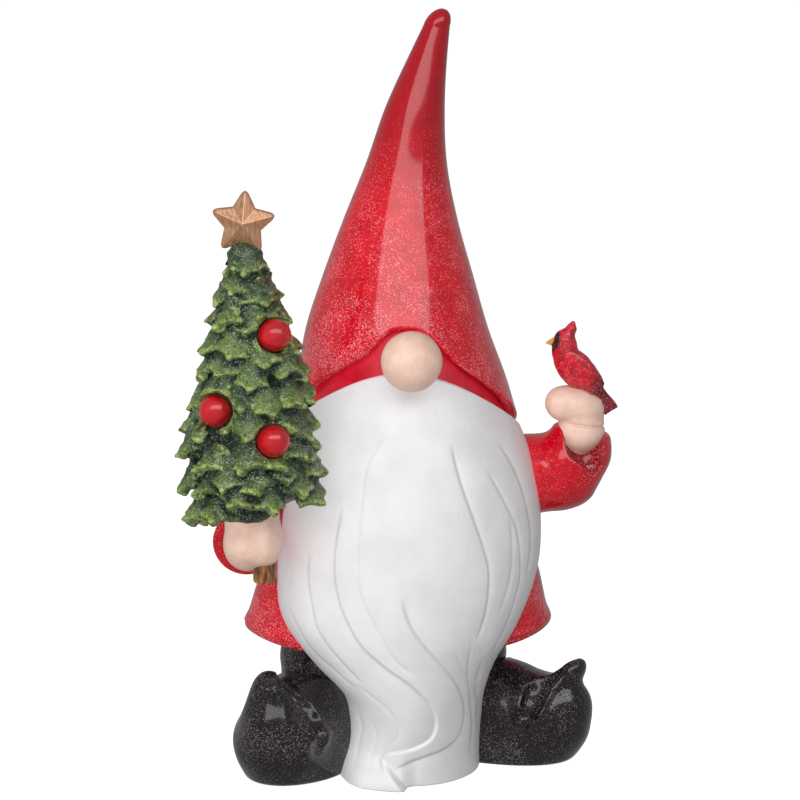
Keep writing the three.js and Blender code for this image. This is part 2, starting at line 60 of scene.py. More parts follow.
# The hat's rim and the beard's top edge both arch up to the nose, and tilt down to the gnome's left.
ARCH_FRONT = 9.5
ARCH_SPREAD = 115
ARCH_TILT = 7
RIM_LOW, RIM_RISE = 186, 46
NOTCH_RISE, NOTCH_WIDTH = 10, 23
BEARD_TOP_LOW, BEARD_TOP_RISE = 183, 37

# Beard: height, left x, right x, front y of the left half, front y of the right half, y of the
# widest place.
BEARD = [
    (0, -38, 38.5, -50, -46, -2),
    (14, -33.5, 38.6, -51, -49, -3),
    (28, -31.8, 39.5, -54, -54, -4),
    (42, -34.5, 41, -59, -59, -6),
    (60, -50.5, 46.5, -64, -64, -7),
    (80, -65.5, 58, -68, -68, -7),
    (113, -69, 69.5, -70, -70, -6),
    (135, -67, 70.5, -69, -69, -6),
    (167, -60, 66, -63, -63, -5),
    (190, -56, 57, -56, -56, -1),
    (205, -53, 50, -49.5, -49.5, 2),
    (222, -49, 45, -44, -44, 4),
]
BEARD_BACK = 13
# A crease's half width, how far out the hair beside it levels, the length over which its ends fade, and
# the number of points along it.
CREASE_WIDTH = 1
CREASE_SPREAD = 9
CREASE_FADE = 12
CREASE_POINTS = 80

# Coat: height, half width, half depth, centre x, centre y.
COAT = [
    (66, 84, 50, -5, 18),
    (98, 76, 46, -4, 16),
    (130, 64, 42, -2, 14),
    (160, 56, 40, 0, 12),
    (185, 46, 36, 0, 10),
    (203, 34, 30, -1, 8),
]
COAT_YAW = 8
COAT_WALL = 6
HEM_ROUND = 3.4
HEM_LIFT = 7

LEG_R = 19.5

# Each foot: the ankle, the way it points, the middle of its curled tongue (distance ahead, height), the
# tongue's radii, lean and fillet, and which side of the foot faces the other one.
FEET = {
    "right": dict(
        ankle=(-49, 10), turn=-24, tongue=(54.5, 47), size=(15, 11, 8.5), lean=16, fillet=13, inner=1
    ),
    "left": dict(
        ankle=(34, 30), turn=62, tongue=(59, 46.5), size=(13.5, 9.5, 6.5), lean=40, fillet=5, inner=-1
    ),
}

# The lowest and the highest level of the fir's foliage.
FOLIAGE_Z = (147, 293)

# How far the fir reaches from its axis: height, radius.
FIR = [
    (147, 34), (160, 35), (177, 34.5), (200, 31.5), (216, 28), (245, 20.5), (262, 14.5), (275, 10), (292, 4)
]

# The clumps of needles hang in tiers: how many, the top one's height, and their drop. Then the clumps'
# spacing, their droop from the level, and the largest one's reach.
TIERS = 10
TIER_TOP = 272
TIER_DROP = 13.6
CLUMP_SPACING = 18
CLUMP_DROOP = 62
CLUMP_LARGEST = 11.2
# The lattice on which the foliage is worked out.
FOLIAGE_CELL = 0.7
TRUNK_R = 6
ORNAMENTS = (1, 2, 3)

CAMERA_ELEVATION = 10
CAMERA_DISTANCE = 1700
CAMERA_TARGET = (-4.2, 0, 198)
CAMERA_LENS = 144.9

# Each light box: its place, the point it faces, its width and height, and its watts. They are named as
# the camera sees them.
LIGHT_BOXES = {
    "front_box": ((160, -1100, 1060), (0, 0, 230), (2050, 620), 10.2),
    "left_box": ((-1300, -850, 620), (0, 0, 180), (600, 1000), 11),
    "low_fill": ((-250, -1300, 120), (0, 0, 180), (1200, 300), 6),
    "right_fill": ((1300, -800, 500), (0, 0, 200), (600, 1000), 0.5),
}
# How bright the white sweep is, as a light and as the camera sees it.
SWEEP_GLOW = 0.31
SWEEP_SEEN = 1.05
# Half the floor's side, and how far it lies below the soles.
FLOOR_HALF = 4000
FLOOR_DROP = 0.2

rng = np.random.default_rng(7)

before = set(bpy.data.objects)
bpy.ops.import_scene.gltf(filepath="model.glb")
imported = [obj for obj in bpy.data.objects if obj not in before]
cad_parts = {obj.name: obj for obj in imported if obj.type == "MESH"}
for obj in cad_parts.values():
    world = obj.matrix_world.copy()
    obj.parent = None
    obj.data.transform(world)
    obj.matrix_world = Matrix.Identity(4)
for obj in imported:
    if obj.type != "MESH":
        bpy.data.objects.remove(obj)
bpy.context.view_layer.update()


def box_mm(node):
    low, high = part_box(node)
    return np.array(low) / MM, np.array(high) / MM


def middle_mm(node):
    low, high = box_mm(node)
    return (low + high) / 2


# ---- Curves and meshes ----


class Outline:
    """A smooth curve through rows of (height, value, value, ...)."""

    def __init__(self, rows):
        table = np.array(rows, float)
        self.at = table[:, 0]
        self.values = table[:, 1:]
        self.slopes = np.gradient(self.values, self.at, axis=0)

    def __call__(self, where):
        where = np.clip(where, self.at[0], self.at[-1])
        i = np.clip(np.searchsorted(self.at, where) - 1, 0, len(self.at) - 2)
        span = (self.at[i + 1] - self.at[i])[..., None]
        t = (where - self.at[i])[..., None] / span
        a, b = self.values[i], self.values[i + 1]
        m, n = self.slopes[i] * span, self.slopes[i + 1] * span
        made = a * (2 * t**3 - 3 * t**2 + 1) + m * (t**3 - 2 * t**2 + t)
        made = made + b * (3 * t**2 - 2 * t**3) + n * (t**3 - t**2)
        return np.moveaxis(made, -1, 0)


def smoothstep(low, high, x):
    t = np.clip((x - low) / (high - low), 0, 1)
    return t * t * (3 - 2 * t)


def bump(x, width):
    return np.exp(-((x / width) ** 2))


def full_turn(count):
    return np.linspace(-np.pi, np.pi, count, endpoint=False)


def grid_faces(rows, cols, loop):
    """Quads over rings of points. With loop, the last ring joins the first."""
    r = np.arange(rows if loop else rows - 1)[:, None] * cols
    up = (r + cols) % (rows * cols)
    c = np.arange(cols)[None, :]
    n = (c + 1) % cols
    return np.stack([r + c, r + n, up + n, up + c], -1).reshape(-1, 4)


def new_mesh(name, points, faces, paint=None):
    """A smooth-shaded object from points in mm. paint maps attribute names to a value per point."""
    mesh = bpy.data.meshes.new(name)
    mesh.from_pydata((np.asarray(points) * MM).tolist(), [], [list(face) for face in faces])
    mesh.validate()
    mesh.polygons.foreach_set("use_smooth", np.ones(len(mesh.polygons), bool))
    for key, values in (paint or {}).items():
        layer = mesh.attributes.new(key, "FLOAT", "POINT")
        layer.data.foreach_set("value", np.asarray(values, np.float32))
    mesh.update()
    obj = bpy.data.objects.new(name, mesh)
    bpy.context.collection.objects.link(obj)
    return obj


def swept(name, rows, paint=None, loop=False):
    """A skin through rings of points, (rings, points, xyz). With loop, the last ring joins the first,
    and otherwise both ends are closed."""
    count, cols = rows.shape[:2]
    faces = grid_faces(count, cols, loop).tolist()
    if not loop:
        faces.append(list(range(cols))[::-1])
        faces.append(list(range((count - 1) * cols, count * cols)))
    return new_mesh(name, rows.reshape(-1, 3), faces, paint)


def dress(obj, material, node):
    obj.data.materials.append(material)
    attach(obj, "root")
    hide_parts(node)


# ---- Soft lumps: signed distances in mm, negative inside ----


def length(v):
    return np.sqrt((v * v).sum(-1))


def unit(v):
    return v / np.maximum(length(v), 1e-6)[..., None]


def parts(p):
    return p[..., 0], p[..., 1], p[..., 2]


def ball(p, centre, r):
    return length(p - np.array(centre, float)) - r


def frame_of(along, up=(0, 0, 1)):
    """Axes of a lump that points along, as rows: along, across, up."""
    ahead = unit(np.array(along, float))
    across = unit(np.cross(np.array(up, float), ahead))
    return np.array([ahead, across, np.cross(ahead, across)])


def lump(p, centre, radii, axes=None):
    """An ellipsoid with its own axes."""
    q = p - np.array(centre, float)
    if axes is not None:
        q = q @ axes.T
    radii = np.array(radii, float)
    k0 = length(q / radii)
    k1 = length(q / radii**2)
    return k0 * (k0 - 1) / np.maximum(k1, 1e-9)


def bar(p, a, b, ra, rb):
    """A rod from a to b whose radius changes evenly, with round ends."""
    a, b = np.array(a, float), np.array(b, float)
    along = b - a
    t = np.clip(((p - a) @ along) / (along @ along), 0, 1)
    return length(p - a - t[..., None] * along) - (ra + (rb - ra) * t)


def chain(p, joints, k):
    """Rods through joints (x, y, z, radius), joined with fillets of about k."""
    made = None
    for one, two in zip(joints, joints[1:]):
        rod = bar(p, one[:3], two[:3], one[3], two[3])
        made = rod if made is None else fuse(made, rod, k)
    return made


def fuse(a, b, k):
    """a joined to b with a fillet of about k."""
    h = np.maximum(k - np.abs(a - b), 0) / k
    return np.minimum(a, b) - h * h * k / 4


def carve(a, b, k):
    """a with b taken away, its edge rounded by about k."""
    return -fuse(-a, b, k)


def lattice(low, high, cell):
    axes = [np.arange(a, b + cell, cell) for a, b in zip(low, high)]
    return np.stack(np.meshgrid(*axes, indexing="ij"), -1)


CORNERS = [(i, j, k) for i in (0, 1) for j in (0, 1) for k in (0, 1)]
EDGES = [
    (a, b) for a in CORNERS for b in CORNERS
    if sum(b) - sum(a) == 1 and min(np.subtract(b, a)) == 0
]


def skin_cells(values, low, cell):
    """Points and quads where values on a lattice change sign, one point per cell."""
    inside = values < 0
    size = np.array(values.shape) - 1
    shifted = [tuple(slice(i, i + n) for i, n in zip(corner, size)) for corner in CORNERS]
    total = sum(inside[part].astype(np.int8) for part in shifted)
    mixed = (total > 0) & (total < 8)
    cells = np.argwhere(mixed)
    index = np.full(mixed.shape, -1)
    index[mixed] = np.arange(len(cells))
    place = np.zeros((len(cells), 3))
    hits = np.zeros(len(cells))
    for a, b in EDGES:
        va = values[tuple((cells + a).T)]
        vb = values[tuple((cells + b).T)]
        crossed = (va < 0) != (vb < 0)
        t = np.where(crossed, va / np.where(crossed, va - vb, 1), 0)[:, None]
        place += crossed[:, None] * (np.array(a) + (np.array(b) - np.array(a)) * t)
        hits += crossed
    points = np.array(low) + cell * (cells + place / hits[:, None])
    faces = []
    for axis in range(3):
        j, k = [d for d in range(3) if d != axis]
        here = [slice(None)] * 3
        here[axis] = slice(0, -1)
        there = [slice(None)] * 3
        there[axis] = slice(1, None)
        change = inside[tuple(here)].astype(np.int8) - inside[tuple(there)].astype(np.int8)
        edges = np.argwhere(change != 0)
        edges = edges[(edges[:, j] > 0) & (edges[:, k] > 0)]
        edges = edges[(edges[:, j] < size[j]) & (edges[:, k] < size[k])]
        step_j, step_k = np.eye(3, dtype=int)[j], np.eye(3, dtype=int)[k]
        ring = [edges - step_j - step_k, edges - step_k, edges, edges - step_j]
        quads = np.stack([index[tuple(corner.T)] for corner in ring], -1)
        flip = (change[tuple(edges.T)] > 0) != (axis != 1)
        quads[flip] = quads[flip][:, ::-1]
        faces.append(quads)
    return points, np.concatenate(faces)


def slope(field, points, step):
    rise = [field(points + step * d) - field(points - step * d) for d in np.eye(3)]
    return np.stack(rise, -1) / (2 * step)


# The paints darken where this value is low, as painted shade in creases and recesses.
def openness(field, points, normals, reach=3.5):
    """1 where a surface stands free, less in a crease or against a neighbouring lump."""
    return np.clip(field(points + normals * reach) / reach, 0, 1)


def sculpt(node, field, margin, cell, material, marks=None, name=None):
    """Skin field within a margin of a solid's box, and dress the skin as that solid. marks gives named
    paint values for points and normals."""
    low, high = box_mm(node)
    low, high = low - margin, high + margin
    values = np.stack([field(sheet) for sheet in lattice(low, high, cell)])
    points, faces = skin_cells(values, low, cell)
    # The points settle onto the exact surface.
    for _ in range(3):
        grad = slope(field, points, cell * 0.3)
        points = points - (field(points) / np.maximum((grad * grad).sum(-1), 0.1))[:, None] * grad
    normals = unit(slope(field, points, cell * 0.5))
    # The open mark is painted shade: the paints darken where it is low.
    paint = {"open": openness(field, points, normals)}
    if marks is not None:
        paint.update(marks(points, normals))
    dress(new_mesh(name or f"{node}_skin", points, faces, paint), material, node)


def dusted(amount):
    """Paint marks for a piece with an even dusting of glitter."""
    return lambda points, normals: {"dust": np.full(len(points), amount)}


def waves(p, scale, seed=0):
    """Slow irregular waves over space, about -1 to 1."""
    x, y, z = parts(p / scale)
    a = np.sin(x * 1.3 + z * 0.7 + seed)
    b = np.sin(y * 1.1 - x * 0.8 + 2.1 * seed + 1)
    c = np.sin(z * 1.7 + y * 0.6 - seed + 2)
    return (a + b * c + c) / 2.4


# ---- Materials ----


class Nodes:
    """A short way of writing a node material. Sizes are in mm."""

    def __init__(self, name):
        self.material = bpy.data.materials.new(name)
        self.material.use_nodes = True
        self.tree = self.material.node_tree
        self.shader = self.tree.nodes["Principled BSDF"]
        self.place = self.put("ShaderNodeTexCoord").outputs["Object"]

    def feed(self, socket, value):
        """Set a socket to a number or a colour, or link it to another node's output."""
        if isinstance(value, (int, float)):
            socket.default_value = value
        elif isinstance(value, tuple):
            socket.default_value = (*value, 1)
        else:
            self.tree.links.new(value, socket)

    def put(self, kind, inputs=None, **settings):
        """A new node with some settings, its inputs fed by name or number."""
        node = self.tree.nodes.new(kind)
        for key, value in settings.items():
            setattr(node, key, value)
        for key, value in (inputs or {}).items():
            self.feed(node.inputs[key], value)
        return node

    def noise(self, size, detail=3, rough=0.55, place=None):
        inputs = {"Scale": 1 / (size * MM), "Detail": detail, "Roughness": rough}
        inputs["Vector"] = place or self.place
        return self.put("ShaderNodeTexNoise", inputs).outputs["Fac"]

    def ramp(self, value, low, high, out_low=0.0, out_high=1.0):
        inputs = {"Value": value, "From Min": low, "From Max": high, "To Min": out_low, "To Max": out_high}
        return self.put("ShaderNodeMapRange", inputs, interpolation_type="SMOOTHSTEP").outputs["Result"]

    def patches(self, size, detail=3, out_low=0.0, out_high=1.0):
        """A value that drifts between two over patches of a size."""
        return self.ramp(self.noise(size, detail), 0.3, 0.7, out_low, out_high)

    def cloud(self, size, dark, light):
        """A colour that drifts between two over patches of a size."""
        return self.mix(self.patches(size, 4), dark, light)

    def stretched(self, squeeze, lean=0.0):
        """A place to look up noise drawn out upwards, as brush strokes and fibres are."""
        node = self.put("ShaderNodeMapping", {"Vector": self.place})
        node.inputs["Rotation"].default_value = (0, lean, 0)
        node.inputs["Scale"].default_value = (1, 1, squeeze)
        return node.outputs["Vector"]

    def attribute(self, name):
        return self.put("ShaderNodeAttribute", attribute_name=name).outputs["Fac"]

    def mark(self, name, *limits):
        """A ramp over one of the values painted on a mesh."""
        return self.ramp(self.attribute(name), *limits)

    def math(self, operation, a, b):
        return self.put("ShaderNodeMath", {0: a, 1: b}, operation=operation).outputs[0]

    def times(self, a, b):
        return self.math("MULTIPLY", a, b)

    def mix(self, factor, a, b):
        return self.put("ShaderNodeMix", {0: factor, 6: a, 7: b}, data_type="RGBA").outputs[2]

    def bump(self, height, depth, normal=None):
        node = self.put("ShaderNodeBump", {"Height": height, "Distance": depth * MM})
        if normal is not None:
            self.feed(node.inputs["Normal"], normal)
        return node.outputs["Normal"]

    def flakes(self, size):
        """Small cells as glitter: the pattern's node, and a random value for each flake."""
        pattern = self.put("ShaderNodeTexVoronoi", {"Scale": 1 / (size * MM), "Vector": self.place})
        split = self.put("ShaderNodeSeparateColor", {"Color": pattern.outputs["Color"]})
        return pattern, split.outputs[0]

    def sprinkle(self, color, flake, chance, share_past):
        """A colour under half-clear flakes, wherever a flake's chance is past a value."""
        dust = self.math("GREATER_THAN", chance, share_past)
        return self.mix(self.times(dust, 0.5), color, flake)

    def finish(self, color, roughness, normal, metallic=0.0, **fixed):
        """The finished material. fixed sets the shader's other sockets, with _ for a space."""
        inputs = {"Base Color": color, "Roughness": roughness, "Normal": normal, "Metallic": metallic}
        inputs.update({key.replace("_", " "): value for key, value in fixed.items()})
        for key, value in inputs.items():
            if value is not None:
                self.feed(self.shader.inputs[key], value)
        return self.material


def srgb(*screen):
    """A colour given as 0-255 screen values, as linear light."""

    def linear(c):
        return c / 12.92 if c <= 0.04045 else ((c + 0.055) / 1.055) ** 2.4

    return tuple(linear(c / 255) for c in screen)


def glitter_paint(name, base, shade, flake, cover, flake_size, coat):
    """Gloss paint dusted with fine glitter. cover is the share of the surface that flakes take where the
    piece's dust mark is 1."""
    n = Nodes(name)
    pattern, chance = n.flakes(flake_size)
    share = n.ramp(n.noise(18), 0.35, 0.65, 0.6 * cover, 1.4 * cover)
    fewest = n.math("SUBTRACT", 1.0, n.times(share, n.attribute("dust")))
    over = n.math("MAXIMUM", n.math("SUBTRACT", chance, fewest), 0.0)
    glint = n.math("MINIMUM", n.times(over, 6.0), 1.0)
    glint = n.times(glint, n.ramp(pattern.outputs["Distance"], 0.4, 0.65, 1.0, 0.2))
    lightness = n.times(n.patches(9, 4, 0.6, 1.0), n.mark("dust", 0.0, 0.8, 0.15, 1.0))
    paint = n.mix(lightness, shade, base)
    # Painted shade: the paint darkens in creases and against neighbouring lumps.
    paint = n.mix(n.mark("open", 0.1, 0.8), n.mix(0.6, paint, (0, 0, 0)), paint)
    color = n.mix(n.times(glint, 0.9), paint, flake)
    rough = n.math("ADD", n.times(glint, 0.2), 0.3)
    normal = n.bump(n.noise(5), 0.1, n.bump(glint, 0.06))
    return n.finish(
        color, rough, normal, n.times(glint, 0.2),
        Coat_Weight=coat, Coat_Roughness=0.1, Specular_IOR_Level=0.1,
    )


def band_paint():
    n = Nodes("band_paint")
    color = n.cloud(7, srgb(188, 14, 38), srgb(206, 26, 50))
    return n.finish(color, n.patches(3, 3, 0.3, 0.42), n.bump(n.noise(2.5), 0.1), Coat_Weight=0.3)


def beard_paint():
    n = Nodes("beard_paint")
    color = n.cloud(18, srgb(217, 216, 218), srgb(225, 224, 226))
    # Painted shade: the white greys along the beard's carved creases.
    color = n.mix(n.mark("open", 0.0, 0.9), srgb(186, 186, 190), color)
    brushed = n.noise(1.6, place=n.stretched(0.12))
    normal = n.bump(brushed, 0.1, n.bump(n.noise(6), 0.2))
    return n.finish(color, n.patches(4, 4, 0.36, 0.5), normal, Coat_Weight=0.12, Coat_Roughness=0.3)


def skin_paint():
    n = Nodes("skin_paint")
    color = n.cloud(6, srgb(224, 186, 168), srgb(234, 200, 184))
    # Painted shade: the skin darkens in its creases and against neighbouring lumps.
    color = n.mix(n.mark("open", 0.1, 0.85), srgb(200, 146, 124), color)
    normal = n.bump(n.noise(1.2), 0.05, n.bump(n.noise(5), 0.15))
    return n.finish(color, n.patches(3, 3, 0.34, 0.46), normal, Subsurface_Weight=0.05)


def foliage_paint():
    n = Nodes("foliage_paint")
    streak = n.noise(1.8, 4, 0.6)
    # Painted shade over a dark base green: recesses and the parts near the core stay dark.
    deep = n.mix(n.ramp(n.noise(7), 0.35, 0.65), srgb(20, 34, 26), srgb(38, 54, 32))
    green = n.mix(n.ramp(n.noise(4, 4), 0.35, 0.65), srgb(44, 64, 36), srgb(80, 104, 52))
    lit = n.times(n.mark("open", 0.35, 0.85), n.mark("raised", 0.0, 0.5, 0.3, 1.0))
    color = n.mix(n.times(lit, n.mark("tip", 0.15, 0.6, 0.4, 1.0)), deep, green)
    # Each clump is a fresher green towards its tip, and worn to yellow along its edges.
    fresh = n.times(n.mark("open", 0.4, 0.85), n.mark("tip", 0.45, 0.9))
    color = n.mix(n.times(fresh, n.ramp(streak, 0.35, 0.6, 0.3, 0.9)), color, srgb(116, 138, 64))
    worn = n.times(n.mark("open", 0.6, 0.9), n.mark("edge", 0.35, 0.8))
    color = n.mix(n.times(worn, n.ramp(streak, 0.38, 0.6, 0.3, 1.0)), color, srgb(164, 182, 96))
    # Dark veins where the wash settled.
    vein = n.ramp(n.noise(1.1), 0.36, 0.5)
    color = n.mix(vein, n.mix(0.6, color, srgb(16, 26, 20)), color)
    pattern, chance = n.flakes(0.42)
    color = n.sprinkle(color, srgb(190, 198, 186), chance, n.ramp(n.noise(9), 0.4, 0.65, 0.95, 0.84))
    normal = n.bump(streak, 0.4, n.bump(pattern.outputs["Color"], 0.08))
    return n.finish(color, n.patches(3, 3, 0.4, 0.6), normal, Coat_Weight=0.15)


def bark_paint():
    n = Nodes("bark_paint")
    fibre = n.noise(1.5, 4, place=n.stretched(0.2))
    color = n.mix(n.ramp(fibre, 0.35, 0.65), srgb(84, 48, 26), srgb(160, 104, 62))
    return n.finish(color, 0.5, n.bump(fibre, 0.6), Coat_Weight=0.2)


def star_paint():
    n = Nodes("star_paint")
    streak = n.noise(1.2, 4, 0.6, n.stretched(0.15, 0.5))
    color = n.mix(n.ramp(streak, 0.3, 0.65), srgb(192, 140, 106), srgb(230, 178, 140))
    return n.finish(color, n.ramp(streak, 0.3, 0.7, 0.34, 0.46), n.bump(streak, 0.12), 0.75)


def berry_paint():
    n = Nodes("berry_paint")
    color = n.cloud(4, srgb(170, 8, 24), srgb(194, 14, 30))
    return n.finish(color, 0.3, n.bump(n.noise(2), 0.12), Coat_Weight=0.7, Coat_Roughness=0.12)


def bird_paint():
    n = Nodes("bird_paint")
    color = n.cloud(3, srgb(158, 8, 28), srgb(216, 18, 44))
    dusk = n.times(n.attribute("dusk"), n.patches(1.6, 3, 0.55, 1.0))
    color = n.mix(dusk, color, srgb(44, 12, 20))
    # Painted shade: the reds darken in creases and where one lump meets another.
    color = n.mix(n.mark("open", 0.2, 0.8), n.mix(0.5, color, (0, 0, 0)), color)
    color = n.mix(n.attribute("beak"), color, srgb(214, 166, 66))
    color = n.mix(n.attribute("mask"), color, srgb(24, 18, 20))
    color = n.sprinkle(color, srgb(240, 150, 160), n.flakes(0.36)[1], 0.93)
    return n.finish(color, 0.34, n.bump(n.noise(1), 0.1), Coat_Weight=0.4, Coat_Roughness=0.2)


def plain_paint(name, dark, light, roughness, grain, metallic=0.0):
    n = Nodes(name)
    color = n.cloud(4 * grain, dark, light)
    return n.finish(color, roughness, n.bump(n.noise(grain), 0.08), metallic)


RED_GLITTER = glitter_paint(
    "red_glitter", srgb(212, 3, 30), srgb(150, 1, 18), srgb(255, 186, 196),
    cover=0.22, flake_size=0.4, coat=1.0,
)
BLACK_GLITTER = glitter_paint(
    "black_glitter", srgb(24, 18, 20), srgb(12, 8, 9), srgb(190, 180, 182),
    cover=0.18, flake_size=0.34, coat=0.9,
)
BAND = band_paint()
BEARD_WHITE = beard_paint()
SKIN = skin_paint()
FOLIAGE = foliage_paint()
BARK = bark_paint()
STAR_GOLD = star_paint()
BERRY = berry_paint()
BIRD = bird_paint()
RESIN = plain_paint("resin", srgb(196, 188, 168), srgb(214, 208, 192), 0.6, 0.8)
STEEL = plain_paint("steel", srgb(150, 152, 156), srgb(186, 188, 190), 0.3, 0.3, 1.0)
RUBBER = plain_paint("rubber", srgb(24, 24, 24), srgb(36, 36, 36), 0.8, 0.6)


# ---- Hat, collar and nose ----

hat_at = Outline(HAT)


def from_front(angle):
    turn = np.degrees(angle) - ARCH_FRONT
    return np.abs((turn + 180) % 360 - 180)


def arch_height(angle, low, rise):
    share = np.minimum(from_front(angle) / ARCH_SPREAD, 1)
    return low - ARCH_TILT * np.sin(angle) + rise * (0.5 + 0.5 * np.cos(np.pi * share))


def rim_height(angle):
    notch = NOTCH_RISE * np.exp(-((from_front(angle) / NOTCH_WIDTH) ** 4))
    return arch_height(angle, RIM_LOW, RIM_RISE) + notch


def beard_top(angle):
    return arch_height(angle, BEARD_TOP_LOW, BEARD_TOP_RISE)


def hat_point(angle, z, inset):
    r, cx, cy = hat_at(z)
    r = r - inset
    return np.stack([cx + r * np.sin(angle), cy - r * np.cos(angle), z + 0 * angle], -1)


def build_hat():
    around = full_turn(300)
    rim = rim_height(around)
    tip_z = HAT[-1][0]
    rows = [hat_point(around, rim + rise, HAT_WALL) for rise in np.linspace(HAT_LINING, RIM_ROUND, 12)]
    for turn in np.radians(np.linspace(180, 360, 12)[1:-1]):
        inset = HAT_WALL / 2 - HAT_WALL / 2 * np.cos(turn)
        rows.append(hat_point(around, rim + RIM_ROUND + RIM_ROUND * np.sin(turn), inset - 0.6))
    for share in np.linspace(0, 1, 240):
        z = rim + RIM_ROUND + (tip_z - rim - RIM_ROUND) * share
        above = z - rim
        dent = 0.3 * np.sin(2 * around + z / 31) * smoothstep(8, 40, above) * (1 - share)
        rows.append(hat_point(around, z, dent - RIM_FLARE * np.exp(-above / 5)))
    # A blunt round end, which leans a little.
    r, cx, cy = hat_at(np.array(float(tip_z)))
    rise = box_mm("hat")[1][2] - tip_z
    for turn in np.radians(np.linspace(0, 86, 14)[1:]):
        up = rise * math.sin(turn)
        x, y = r * np.sin(around) * math.cos(turn), -r * np.cos(around) * math.cos(turn)
        rows.append(np.stack([cx + 0.3 * up + x, cy + y, tip_z + up + 0 * around], -1))
    rows = np.array(rows)
    height = rows[..., 2].ravel()
    # The glitter thins out towards the tip.
    dust = 0.12 + 0.88 * smoothstep(370, 250, height) + 0.3 * smoothstep(255, 215, height)
    obj = swept("hat_skin", rows, {"open": np.ones(height.shape), "dust": dust})
    dress(obj, RED_GLITTER, "hat")


def build_collar():
    around = full_turn(200)
    top = rim_height(around) + 6
    bottom = beard_top(around) - 14
    rows = []
    for share in np.linspace(0, 1, 30):
        z = bottom + (top - bottom) * share
        rows.append(hat_point(around, z, HAT_WALL - 0.4 + 0.6 * np.sin(np.pi * share)))
    for share in np.linspace(0, 1, 5):
        rows.append(hat_point(around, top, HAT_WALL + 12 * share))
    for share in np.linspace(0, 1, 5):
        rows.append(hat_point(around, bottom + (top - bottom) * (1 - share), HAT_WALL + 14))
    dress(swept("collar_skin", np.array(rows), loop=True), BAND, "neck_collar")


def build_nose():
    low, high = box_mm("nose")
    r = (high[0] - low[0]) / 2
    centre = np.array([(low[0] + high[0]) / 2, low[1] + r * 0.95, (low[2] + high[2]) / 2])
    peg_end = np.array([centre[0], high[1] - 3, centre[2]])

    def field(p):
        # Its back is drawn out to the band, out of sight from the front.
        back = bar(p, centre, centre + np.array([0, 0.65 * r, 0]), 0.75 * r, 0.6 * r)
        body = fuse(lump(p, centre, (r, r * 0.95, r)), back, 3)
        return fuse(body, bar(p, centre, peg_end, 3.5, 3.5), 2) + 0.12 * waves(p, 6)

    sculpt("nose", field, 1, 0.55, SKIN)


# ---- Beard ----

beard_at = Outline(BEARD)

# Carved creases on the front view. path: (x, z) points from top to bottom. depth: of
# the groove. lift: how far the hair on the left of someone walking down the crease stands above the
# other side.
CREASES = [
    # The long lock that swings right, then back left, lies between these two.
    dict(
        path=[
            (-34, 155), (-38, 134), (-39, 120), (-37, 105), (-31, 90), (-24, 79), (-14, 70), (3, 57),
            (11, 47), (14, 37), (12, 29), (5, 24), (-5, 21), (-12, 19), (-15, 15), (-13, 10), (-8, 5),
        ],
        depth=0.9, lift=1.5,
    ),
    dict(
        path=[
            (-3, 110), (-1, 100), (3, 90), (10, 80), (20, 67), (27, 55), (30, 44),
            (30, 33), (27, 25), (20, 20), (10, 17), (-1, 13), (-8, 9),
        ],
        depth=0.9, lift=-1.3,
    ),
    dict(
        path=[(-9, 193), (-14, 187), (-21, 174), (-24, 156), (-26, 130), (-26, 114)],
        depth=0.45, lift=0.3,
    ),
    dict(path=[(-26, 125), (-26, 112), (-22, 101), (-14, 86), (-7, 74), (6, 63)], depth=0.5, lift=0.3),
    dict(
        path=[(-51, 130), (-53, 116), (-51, 100), (-48, 87), (-41, 76), (-33, 67), (-22, 56)],
        depth=0.6, lift=0.6,
    ),
    dict(path=[(-63, 96), (-58, 84), (-51, 73), (-39, 63), (-30, 56), (-24, 53)], depth=0.6, lift=0.5),
    dict(path=[(-30, 60), (-20, 52), (-10, 44), (-5, 36), (-6, 28), (-14, 22)], depth=0.3),
    dict(
        path=[(22, 186), (27, 167), (35, 144), (39, 132), (42, 120), (42, 108), (40, 94), (35, 79)],
        depth=0.9, lift=-0.9,
    ),
    dict(
        path=[(40, 172), (50, 154), (57, 138), (59, 124), (59, 110), (56, 98), (51, 84), (43, 69)],
        depth=0.7, lift=-0.5,
    ),
    dict(path=[(45, 186), (56, 168), (63, 147), (65, 134), (65, 122), (62, 108)], depth=0.7, lift=-0.4),
    dict(path=[(52, 150), (54, 135), (54, 120), (51, 104), (45, 90)], depth=0.4),
    dict(path=[(33, 84), (32, 64), (34, 45), (35, 26), (33, 10)], depth=0.5, lift=-0.4),
    dict(path=[(40, 72), (37, 55), (38, 38), (38, 20)], depth=0.5),
    dict(path=[(24, 80), (28, 68), (35, 54), (37, 40)], depth=0.35),
    dict(path=[(-28, 44), (-25, 30), (-27, 16), (-26, 4)], depth=0.35),
    dict(path=[(-20, 40), (-17, 28), (-20, 14), (-18, 3)], depth=0.3),
]


def curve_through(points):
    """Evenly spread points on a smooth curve through a few."""
    p = np.array(points, float)
    along = np.concatenate([[0], np.cumsum(length(np.diff(p, axis=0)))])
    curve = Outline(np.column_stack([along, p]))
    return np.stack(curve(np.linspace(0, along[-1], CREASE_POINTS)), -1)


